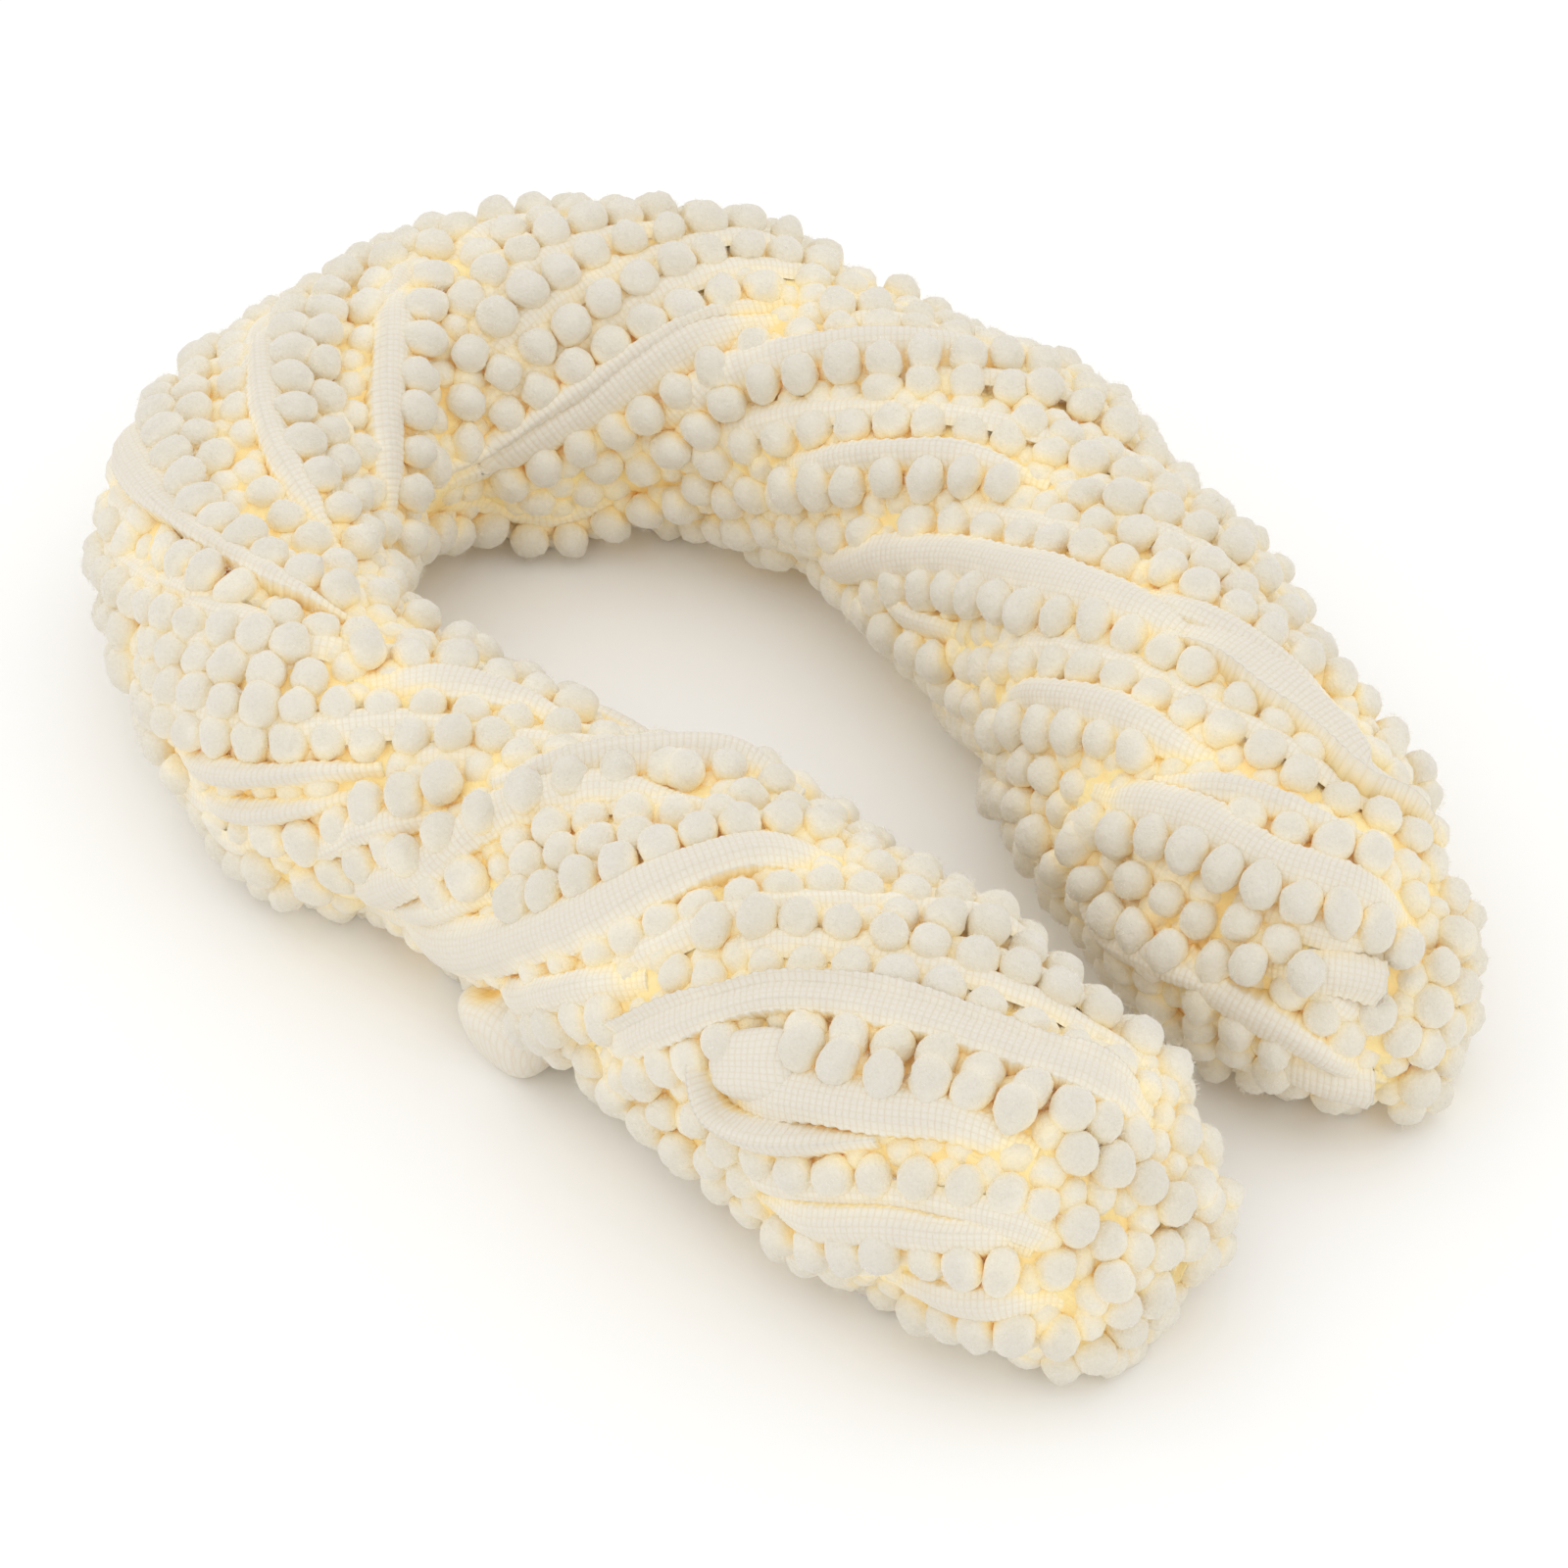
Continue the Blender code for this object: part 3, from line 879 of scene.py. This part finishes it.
def add_tapes(name, strands, everything, material):
    """One object of the given strands' tapes."""
    forms = []
    for strand in strands:
        samples = SAMPLES_A_RIB if strand in STRANDS else SAMPLES_OUT_OF_SIGHT
        line = strand_line(strand.path, RIB_PITCH / samples)
        half = half_widths(strand, line)
        rings, spots, depths = tape_surface(line, strand.side, half, strand.lie, seat=TAPE_SEAT)
        rings = raised(rings, TAPE_HEIGHT)
        depths = depths.ravel() * TAPE_INSET_SHADE + painted_shade_of_tape(rings.reshape(-1, 3), everything)
        forms.append(tape_form(rings, spots, depths, strand.side > 0))
    new_object(name, forms, material)


def loose_end_line(end):
    """The middle line of a loose end."""
    share = np.linspace(0.0, 1.0, LOOSE_SAMPLES)
    angles = np.radians(end.angle + end.turn * share)
    line = np.stack([end.place + end.length * share, angles], axis=1)
    return even_line(line, RIB_PITCH / SAMPLES_A_RIB)


def add_loose_end(end, material):
    """A cut end of the tape, which lies on the pompoms beside it and is ragged at its cut."""
    line = loose_end_line(end)
    rings, spots, depths = tape_surface(
        line, 1, TAPE_WIDTH / 2, "flat", ends=LOOSE_DIVES, reach=LOOSE_DIVE
    )
    point, out, onward, _ = directions(line)
    rings += out[:, None] * LOOSE_LIFT
    ragged = draw.normal(0.0, RAGGED, size=rings.shape[1])
    for back, share in enumerate(RAGGED_SHARES, 1):
        rings[-back] += onward[-back] * (ragged * share)[:, None]
    form = tape_form(raised(rings, TAPE_HEIGHT), spots, depths.ravel(), True)
    piece = new_object("tape_" + end.name, [form], material)
    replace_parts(piece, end.name)


FOLD_POWER = 2.7  # 2 for a round fold, and more for a squarer one
FOLD_SHADE_DEPTH = 0.9
FOLD_FLARE = 0.32  # how much wider the front fold is at its top than at its middle
MOUTH_WAY = (-0.45, -0.25, 0.85)
MOUTH_DEPTH = 0.36
MOUTH_SPREAD = 0.22
# The painted warm shade in the fold's hollow mouth, as depth for the colour
MOUTH_SHADE = 7.5
CREASE_DEPTH = 0.06
CREASE_WIDTH = 0.12
CREASE_SLANT = 0.25
CREASE_PLACE = 0.1
CREASE_LOW = -0.2  # how far down the sides it goes


def add_fold(name, centre, axes, half, taper, material, mouth_depth=0.0):
    """A fold of tape that bulges in a smooth tongue.

    The axes are its length, its width and the way out.  Taper is how much narrower the tongue is
    at the far end of its length.  A fold with a mouth is hollow there, and flares.
    """
    has_mouth = mouth_depth > 0
    points, faces = ball(5 if has_mouth else 4)
    mouth = np.exp(-np.sum((points - unit(np.array(MOUTH_WAY))) ** 2, axis=1) / MOUTH_SPREAD)
    squareness = np.sum(np.abs(points) ** FOLD_POWER, axis=1) ** (-1.0 / FOLD_POWER)
    shape = points * (squareness * (1.0 - mouth_depth * mouth))[:, None]
    shape[:, 1:] *= 1.0 - taper * (points[:, :1] * 0.5 + 0.5)
    if has_mouth:
        shape[:, :2] *= 1.0 + FOLD_FLARE * points[:, 2:]
    crease = hump(points[:, 1] - CREASE_SLANT * points[:, 0] - CREASE_PLACE, CREASE_WIDTH)
    crease = crease * (points[:, 2] > CREASE_LOW)
    shape *= (1.0 - CREASE_DEPTH * crease)[:, None]
    spots = raised(np.array(centre) + (shape * np.array(half)) @ np.array(axes), TAPE_HEIGHT)
    knit = points[:, :2] * half[:2]
    # Painted warm shade on the fold, deepest in its mouth
    form = Form(spots, faces, knit, FOLD_SHADE_DEPTH + MOUTH_SHADE * mouth * has_mouth)
    new_object(name, [form], material)


def add_lump(name, place, angle, inset, lean, half, material):
    """A fold on the outline, with its length turned by lean from the route to larger angles."""
    angle = np.array(math.radians(angle))
    point, out = hank.surface(place, angle)
    ahead = hank.surface(place + 0.5, angle)[0] - point
    ahead = unit(ahead - out * np.dot(ahead, out))
    turn = math.radians(lean)
    length = ahead * math.cos(turn) + np.cross(out, ahead) * math.sin(turn)
    axes = np.stack([length, np.cross(out, length), out])
    add_fold(name, point - out * inset, axes, half, LUMP_TAPER, material)


# The tape of a row: the inset and the distance from its pompoms of each of its columns
ROW_COLUMNS = ((4.2, -0.4), (3.1, -2.4), (3.3, -3.9), (5.2, -6.0))
ROW_TAPE_MARGIN = 2.0
ROW_TAPE_STEP = 1.5
ROW_TAPE_HEIGHT = 0.4
ROW_DIVE_LENGTH = 7.0
ROW_DIVE_DEPTH = 2.6
ROW_SWAY_LENGTH = 7.0
LEAST_LINE = 6  # points


def add_row_tapes(name, rows, everything, material):
    """The tapes of the rows, of which little shows between the pompoms."""
    forms = []
    for line, side in rows:
        places = line[:, 0]
        line = line[(places > ROW_TAPE_MARGIN) & (places < hank.length - ROW_TAPE_MARGIN)]
        if len(line) < LEAST_LINE:
            continue
        line = even_line(line, ROW_TAPE_STEP)
        point, out, _, sideways = directions(line)
        run = lengths(point)
        dive = ROW_DIVE_DEPTH * dips(run, 1.0, 1.0, ROW_DIVE_LENGTH)
        dive = dive + wave(run, SWAY, ROW_SWAY_LENGTH)
        insets, offsets = np.array(ROW_COLUMNS).T[..., None]
        inset = insets + dive
        points = point + sideways * offsets[..., None] * side - out * inset[..., None]
        spots = np.stack([run + 0 * offsets, offsets + 0 * run], axis=-1).reshape(-1, 2)
        # Painted warm shade of a row tape: more the deeper it lies and the nearer it is to pompoms
        warm = np.concatenate([painted_shade_of_tape(column, everything) for column in points])
        depths = ((inset - 2.0) * TAPE_INSET_SHADE).ravel() + warm
        count = len(run)
        first = np.arange(len(insets) - 1)[:, None] * count + np.arange(count - 1)
        corners = [first, first + 1, first + count + 1, first + count]
        faces = np.stack(corners, axis=-1).reshape(-1, 4)[:, ::side]
        points = raised(points.reshape(-1, 3), ROW_TAPE_HEIGHT)
        forms.append(Form(points, faces, spots, depths))
    new_object(name, forms, material)


CORE_STEP = 4.0
CORE_COLUMNS = 60
CORE_TIP = 0.99  # of the domes at the ends
CORE_HEIGHT = 0.6  # the least height of the core above the floor
GROOVE_DEPTH = 0.5  # of the turns that follow the twist
GROOVES = 20
LOBE_DEPTH = 0.3
LOBES = 7
LOBE_LENGTH = 9  # of one radian, as the lobes slide round against the grooves


def add_core(material):
    """What lies behind the rows: the deep turns, as one closed form."""
    places = np.arange(-END_DOME, hank.length + END_DOME, CORE_STEP)
    places[0] = -END_DOME * CORE_TIP
    places[-1] = hank.length + END_DOME * CORE_TIP
    angles = np.arange(CORE_COLUMNS) * 2 * math.pi / CORE_COLUMNS
    place, angle = np.meshgrid(places, angles, indexing="ij")
    turning = angle - 2 * math.pi * place / TURN_LENGTH
    inset = CORE_INSET + GROOVE_DEPTH * np.cos(turning * GROOVES)
    inset = inset + LOBE_DEPTH * np.cos(turning * LOBES + place / LOBE_LENGTH)
    points = raised(hank.point(place, angle, inset), CORE_HEIGHT).reshape(-1, 3)
    form = Form(points, ring_faces(len(places), CORE_COLUMNS, True), None, inset.ravel())
    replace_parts(new_object("wound_turns", [form], material), "hank")


# Materials

WHITE = (1.0, 1.0, 1.0)
CREAM_LIGHT = (0.742, 0.702, 0.622)
# Painted warm shade: the colours that yarn and tape grow towards in hollows, for light that reaches
# them only through other yarn
PAINTED_SHADE_CREAM = (0.860, 0.806, 0.682)
PAINTED_SHADE_WARM = (0.995, 0.872, 0.570)
PAINTED_SHADE_ORANGE = (0.998, 0.800, 0.310)
TAPE_CREAM = (0.762, 0.714, 0.628)
FIBRE_CREAM = (1.0, 0.975, 0.90)
PATCH_CREAM = (0.975, 0.965, 0.93)
YARN_SHADE = (0.955, 0.945, 0.92)
GROOVE_SHADE = (0.975, 0.935, 0.85)
GRAIN_SHADE = (0.975, 0.965, 0.94)
CORE_PAINTED_ORANGE = (0.985, 0.74, 0.32)
CORE_PAINTED_YELLOW = (0.99, 0.85, 0.46)
FLOOR_GREY = (0.955, 0.955, 0.95)
FLOOR_WHITE = (0.965, 0.965, 0.96)
NOISE_ROUGHNESS = 0.55
# The depth where the painted warm shade begins, and the depth where it is full
POMPOM_SHADE_DEPTHS = (0.4, 8.2)
TAPE_SHADE_DEPTHS = (0.8, 8.5)
DEEP_TAPE_SHADE_DEPTHS = (0.5, 9.5)


class Shader:
    """A material and short calls to add nodes to it."""

    def __init__(self, name, sheen=0.0, roughness=0.88, specular=0.18):
        self.material = bpy.data.materials.new(name)
        self.material.use_nodes = True
        self.nodes = self.material.node_tree.nodes
        self.links = self.material.node_tree.links
        self.inputs = self.nodes["Principled BSDF"].inputs
        self.feed(self.inputs["Roughness"], roughness)
        self.feed(self.inputs["Specular IOR Level"], specular)
        self.feed(self.inputs["Sheen Weight"], sheen)
        self.feed(self.inputs["Sheen Roughness"], 0.6)
        self.place = self.node("TexCoord").outputs["Object"]

    def node(self, kind, settings=(), **sockets):
        """A node with its settings, and with a number or a link on each socket that is named."""
        node = self.nodes.new("ShaderNode" + kind)
        for name, value in settings:
            setattr(node, name, value)
        for name, value in sockets.items():
            self.feed(node.inputs[name.replace("_", " ")], value)
        return node

    def feed(self, socket, value):
        if isinstance(value, bpy.types.NodeSocket):
            self.links.new(value, socket)
        else:
            socket.default_value = value

    def noise(self, scale, detail=3.0):
        node = self.node(
            "TexNoise", Vector=self.place, Scale=scale, Detail=detail, Roughness=NOISE_ROUGHNESS
        )
        return node.outputs["Fac"]

    def ramp(self, source, *stops):
        """Colours at positions from 0 to 1."""
        node = self.node("ValToRGB", Fac=source)
        elements = node.color_ramp.elements
        while len(elements) < len(stops):
            elements.new(0.5)
        for element, (position, colour) in zip(elements, stops):
            element.position = position
            element.color = (*colour, 1.0)
        return node.outputs["Color"]

    def math(self, operation, first, second=0.0):
        node = self.node("Math", [("operation", operation)])
        self.feed(node.inputs[0], first)
        self.feed(node.inputs[1], second)
        return node.outputs["Value"]

    def cells(self, length, pitch, sharpness):
        """A rounded bump for each pitch of a length, with a narrow groove between."""
        wave = self.math("COSINE", self.math("MULTIPLY", length, math.pi / pitch))
        return self.math("POWER", self.math("ABSOLUTE", wave), sharpness)

    def multiply(self, first, second):
        """The product of two colours."""
        kind = [("data_type", "RGBA"), ("blend_type", "MULTIPLY")]
        node = self.node("Mix", kind)
        self.feed(node.inputs[0], 1.0)
        colours = [socket for socket in node.inputs if socket.type == "RGBA"]
        self.feed(colours[0], first)
        self.feed(colours[1], second)
        return [socket for socket in node.outputs if socket.type == "RGBA"][0]

    def painted_shade_colour(self, light, shallow, deep):
        """Painted warm shade: cream that grows warm with depth, as light does that has passed
        through yarn.
        """
        depth = self.node("Attribute", [("attribute_name", "depth")]).outputs["Fac"]
        share = self.node("MapRange", Value=depth, From_Min=shallow, From_Max=deep)
        stops = ((0.0, light), (0.28, PAINTED_SHADE_CREAM), (0.62, PAINTED_SHADE_WARM), (1.0, PAINTED_SHADE_ORANGE))
        return self.ramp(share.outputs["Result"], *stops)

    def bump(self, height, distance, strength, **before):
        """A normal from a height in the material, over the one before it."""
        node = self.node("Bump", Height=height, Distance=distance, Strength=strength, **before)
        return node.outputs["Normal"]

    def finished(self, colour, normal=None):
        """The material with its colour, and with its relief if it has any."""
        self.links.new(colour, self.inputs["Base Color"])
        if normal:
            self.links.new(normal, self.inputs["Normal"])
        return self.material


def pompom_material():
    shader = Shader("pompom_yarn", sheen=0.3)
    base = shader.painted_shade_colour(CREAM_LIGHT, *POMPOM_SHADE_DEPTHS)
    patch = shader.ramp(shader.noise(90.0), (0.35, WHITE), (0.7, PATCH_CREAM))
    fine = shader.ramp(shader.noise(1900.0, 4.0), (0.3, YARN_SHADE), (0.65, WHITE))
    coarse = shader.bump(shader.noise(1000.0), 0.0005, 0.6)
    fibres = shader.bump(shader.noise(3000.0, 2.0), 0.0002, 0.6, Normal=coarse)
    return shader.finished(shader.multiply(shader.multiply(base, patch), fine), fibres)


def fuzz_material():
    shader = Shader("fibre_ends", sheen=0.4)
    return shader.finished(
        shader.ramp(shader.noise(300.0), (0.3, CREAM_LIGHT), (0.8, FIBRE_CREAM))
    )


def tape_material(name, shallow, deep):
    """Warp-knitted tape: crosswise ribs over fine lengthwise wales."""
    shader = Shader(name, sheen=0.2)
    spots = shader.node("UVMap", [("uv_map", "knit")]).outputs["UV"]
    along, across, _ = shader.node("SeparateXYZ", Vector=spots).outputs
    ribs = shader.cells(along, RIB_PITCH, 0.45)
    wales = shader.cells(across, WALE_PITCH, 0.25)
    knit = shader.math("MULTIPLY", ribs, wales)
    grain = shader.noise(2600.0)
    base = shader.painted_shade_colour(TAPE_CREAM, shallow, deep)
    # The knit's grooves between ribs and wales are darker: painted shade in its hollows, beside the
    # real relief of the bump
    groove = shader.ramp(knit, (0.15, GROOVE_SHADE), (0.85, WHITE))
    fine = shader.ramp(grain, (0.3, GRAIN_SHADE), (0.6, WHITE))
    relief = shader.bump(grain, 0.00010, 0.4, Normal=shader.bump(knit, 0.00018, 0.5))
    return shader.finished(shader.multiply(shader.multiply(base, groove), fine), relief)


# The deep turns are orange and yellow: painted warm shade, for light that has passed through many
# layers of cream yarn
def core_material():
    shader = Shader("deep_turns_painted_shade", sheen=0.1)
    colour = shader.ramp(shader.noise(160.0), (0.3, CORE_PAINTED_ORANGE), (0.7, CORE_PAINTED_YELLOW))
    return shader.finished(colour, shader.bump(shader.noise(900.0), 0.0005, 0.8))


def floor_material():
    shader = Shader("pale_floor", roughness=0.95, specular=0.1)
    return shader.finished(shader.ramp(shader.noise(6.0), (0.3, FLOOR_GREY), (0.7, FLOOR_WHITE)))


# The stage, the lights and the camera, in metres

CAMERA_AZIMUTH = 42.0
CAMERA_ELEVATION = 42.0
CAMERA_DISTANCE = 1.25
CAMERA_TARGET = (0.010, -0.011, 0.0185)
CAMERA_CLIP = 0.05
IMAGE_WIDTH = 1600
PIXELS_PER_METRE = 6600  # in the photo, at the target
SENSOR_WIDTH = 36.0
FLOOR_HALF = 3.0
LIGHT_PLACE = (-0.7, -0.5, 1.5)
LIGHT_SIZE = 1.2
LIGHT_POWER = 1.0
LIGHT_COLOUR = (1.0, 0.985, 0.96)
SKY_STRENGTH = 1.09
LIGHT_BOUNCES = 28  # pale yarn passes light on many times, and its hollows glow with it


def placed(name, data):
    """A new object in the scene."""
    obj = bpy.data.objects.new(name, data)
    bpy.context.scene.collection.objects.link(obj)
    return obj


def add_camera():
    azimuth = math.radians(CAMERA_AZIMUTH)
    elevation = math.radians(CAMERA_ELEVATION)
    level = math.cos(elevation)
    back = Vector((math.sin(azimuth) * level, -math.cos(azimuth) * level, math.sin(elevation)))
    data = bpy.data.cameras.new("photo_camera")
    data.sensor_width = SENSOR_WIDTH
    data.lens = SENSOR_WIDTH * CAMERA_DISTANCE * PIXELS_PER_METRE / IMAGE_WIDTH
    data.clip_start = CAMERA_CLIP
    camera = placed("photo_camera", data)
    camera.location = Vector(CAMERA_TARGET) + back * CAMERA_DISTANCE
    camera.rotation_euler = back.to_track_quat("Z", "Y").to_euler()
    bpy.context.scene.camera = camera


def add_floor():
    builder = bmesh.new()
    bmesh.ops.create_grid(builder, x_segments=8, y_segments=8, size=FLOOR_HALF)
    mesh = bpy.data.meshes.new("floor")
    builder.to_mesh(mesh)
    builder.free()
    mesh.materials.append(floor_material())
    placed("floor", mesh)


def add_light():
    """A soft light that faces the middle of the floor."""
    data = bpy.data.lights.new("key", "AREA")
    data.shape = "DISK"
    data.size = LIGHT_SIZE
    data.energy = LIGHT_POWER
    data.color = LIGHT_COLOUR
    light = placed("key", data)
    light.location = LIGHT_PLACE
    light.rotation_euler = Vector(LIGHT_PLACE).to_track_quat("Z", "Y").to_euler()


def add_world():
    world = bpy.data.worlds.new("studio")
    world.use_nodes = True
    background = world.node_tree.nodes["Background"]
    background.inputs["Color"].default_value = (*WHITE, 1.0)
    background.inputs["Strength"].default_value = SKY_STRENGTH
    scene = bpy.context.scene
    scene.world = world
    scene.view_settings.view_transform = "Standard"
    scene.cycles.max_bounces = LIGHT_BOUNCES
    scene.cycles.diffuse_bounces = LIGHT_BOUNCES


# The layout

OTHER_TAPE_REACH = 3.6  # from the middle of a tape: no other tape's pompoms hang nearer
LEAST_HELD = 5  # points of a line
ROW_SIDE_SHARE = 0.6  # the share of rows whose pompoms hang to the smaller angle
LOOSE_ROOM = TAPE_WIDTH / 2 + POMPOM_DIAMETER * 0.3
EDGE_DEPTH = 2.6  # where a tape's edge shades what lies beside it
TUCK_BESIDE = 2.4  # from a tape's free edge to where the next strand dips the most
TUCK_DEPTH = 1.0
TUCK_REACH = 4.6


def clear_of_loose_ends(pompoms):
    """The pompoms without those that would stand in a clearing or in a loose end's free part."""
    free = []
    for end in LOOSE_ENDS:
        trace = hank.trace(loose_end_line(end))
        free.append(trace[int(len(trace) * LOOSE_HIDDEN) :])
    free = np.concatenate(free)
    rooms = np.full(len(free), LOOSE_ROOM)
    for place, angle, reach in CLEARINGS:
        free = np.concatenate([free, [hank.point(place, math.radians(angle), 0.0)]])
        rooms = np.append(rooms, reach)
    kept = []
    for pompom in pompoms:
        gaps = np.linalg.norm(free - hank.surface(pompom.place, pompom.angle)[0], axis=1)
        if np.all(gaps > rooms) or pompom.depth > DEEP_POMPOM:
            kept.append(pompom)
    return kept


def tucked(pompoms, laid):
    """The pompoms, with those beside a tape's free edge set deeper, as the tape lies over them."""
    valleys = []
    for strand, line in laid:
        beside = half_widths(strand, line) + TUCK_BESIDE
        valleys.append(hank.trace(shifted(line, -strand.side * beside)))
    valleys = np.concatenate(valleys)
    lower = []
    for pompom in pompoms:
        point = pompom.centre + pompom.out * pompom.depth
        dip = TUCK_DEPTH * hump(np.sqrt(np.min(squares(valleys, point))), TUCK_REACH)
        centre = rested(pompom.centre - pompom.out * dip)
        lower.append(pompom._replace(centre=centre, depth=pompom.depth + dip))
    return lower


def lay_pompoms(laid):
    """Every pompom, and the rows between the strands with the side that each hangs to."""
    lines = [line for _, line in laid]
    flow = Flow(lines)
    traces = [hank.trace(line) for line in lines]
    tape_points = np.concatenate(traces)
    taken = Taken(tape_points, MOST_ROW_POINTS)
    pompoms = []
    held = []
    for own, (strand, line) in enumerate(laid):
        others = np.concatenate(traces[:own] + traces[own + 1 :])
        lipped = strand.lie == "lipped"
        reach = half_widths(strand, line) + (LIPPED_REACH if lipped else HELD_REACH)
        line = shifted(line, strand.side * reach)
        nearest = np.array([np.min(squares(others, point)) for point in hank.trace(line)])
        line = line[nearest >= OTHER_TAPE_REACH**2]
        if len(line) >= LEAST_HELD:
            inset = LIPPED_INSET if lipped else HELD_INSET
            pompoms += pompoms_on(line, strand.side, inset, HELD_TUCK, HELD_LONGER)
            taken.add(hank.trace(line))
            held.append(line)
    rows = []
    for row in fill_with_rows(flow, taken, lines + held):
        side = -1 if draw.rand() < ROW_SIDE_SHARE else 1
        rows.append((row, side))
        inset = POMPOM_INSET + draw.uniform(*ROW_DEEPER)
        pompoms += pompoms_on(row, side, inset, ROW_TUCK, ROW_LONGER)
    for filling in FILLINGS:
        pompoms += fill_gaps(flow, pompoms, tape_points, *filling)
    pompoms = tucked(clear_of_loose_ends(pompoms), laid)
    for place, angle, inset in LAID_POMPOMS:
        pompoms.append(single_pompom(flow, place, math.radians(angle), inset))
    return pompoms, rows


def tape_edges(laid):
    """Points along both edges of every tape."""
    points = []
    for strand, line in laid:
        for side in (-1, 1):
            edge = shifted(line, side * half_widths(strand, line))
            points.append(hank.point(edge[:, 0], edge[:, 1], np.full(len(edge), EDGE_DEPTH)))
    return np.concatenate(points)


FINE = 3  # subdivisions of a pompom's ball
COARSE = 2


def build():
    strands = STRANDS + unseen_strands()
    laid = [(strand, strand_line(strand.path, LINE_STEP)) for strand in strands]
    pompoms, rows = lay_pompoms(laid)
    everything = np.array([pompom.centre for pompom in pompoms])
    edges = tape_edges(laid)

    yarn = pompom_material()
    fuzz = fuzz_material()
    tape = tape_material("knitted_tape", *TAPE_SHADE_DEPTHS)
    deep_tape = tape_material("deep_tape", *DEEP_TAPE_SHADE_DEPTHS)
    for region, _ in REGIONS:
        here = [p for p in pompoms if region_of(p.place) == region]
        open_ones = [p for p in here if abs(wrapped(p.angle)) < OPEN_REACH]
        shown = [p for p in open_ones if p.depth <= DEEP_POMPOM]
        deep = [p for p in open_ones if p.depth > DEEP_POMPOM]
        under = [p for p in here if abs(wrapped(p.angle)) >= OPEN_REACH]
        frames = add_pompoms(f"pompoms_{region}", shown, everything, edges, FINE, yarn)
        add_pompoms(f"pompoms_deep_{region}", deep, everything, edges, COARSE, yarn)
        add_pompoms(f"pompoms_under_{region}", under, everything, edges, COARSE, yarn)
        add_fuzz(f"fuzz_{region}", shown, frames, fuzz)
        here = [s for s in strands if region_of(s.path[len(s.path) // 2][0]) == region]
        add_tapes(f"tapes_{region}", here, everything, tape)
    add_row_tapes("row_tapes", rows, everything, deep_tape)
    middle, half = FRONT_FOLD
    add_fold("front_fold", middle, np.eye(3), half, FRONT_TAPER, tape, MOUTH_DEPTH)
    for lump in LUMPS:
        add_lump(*lump, tape)
    for end in LOOSE_ENDS:
        add_loose_end(end, tape)
    add_core(core_material())


add_camera()
add_floor()
add_world()
add_light()
build()
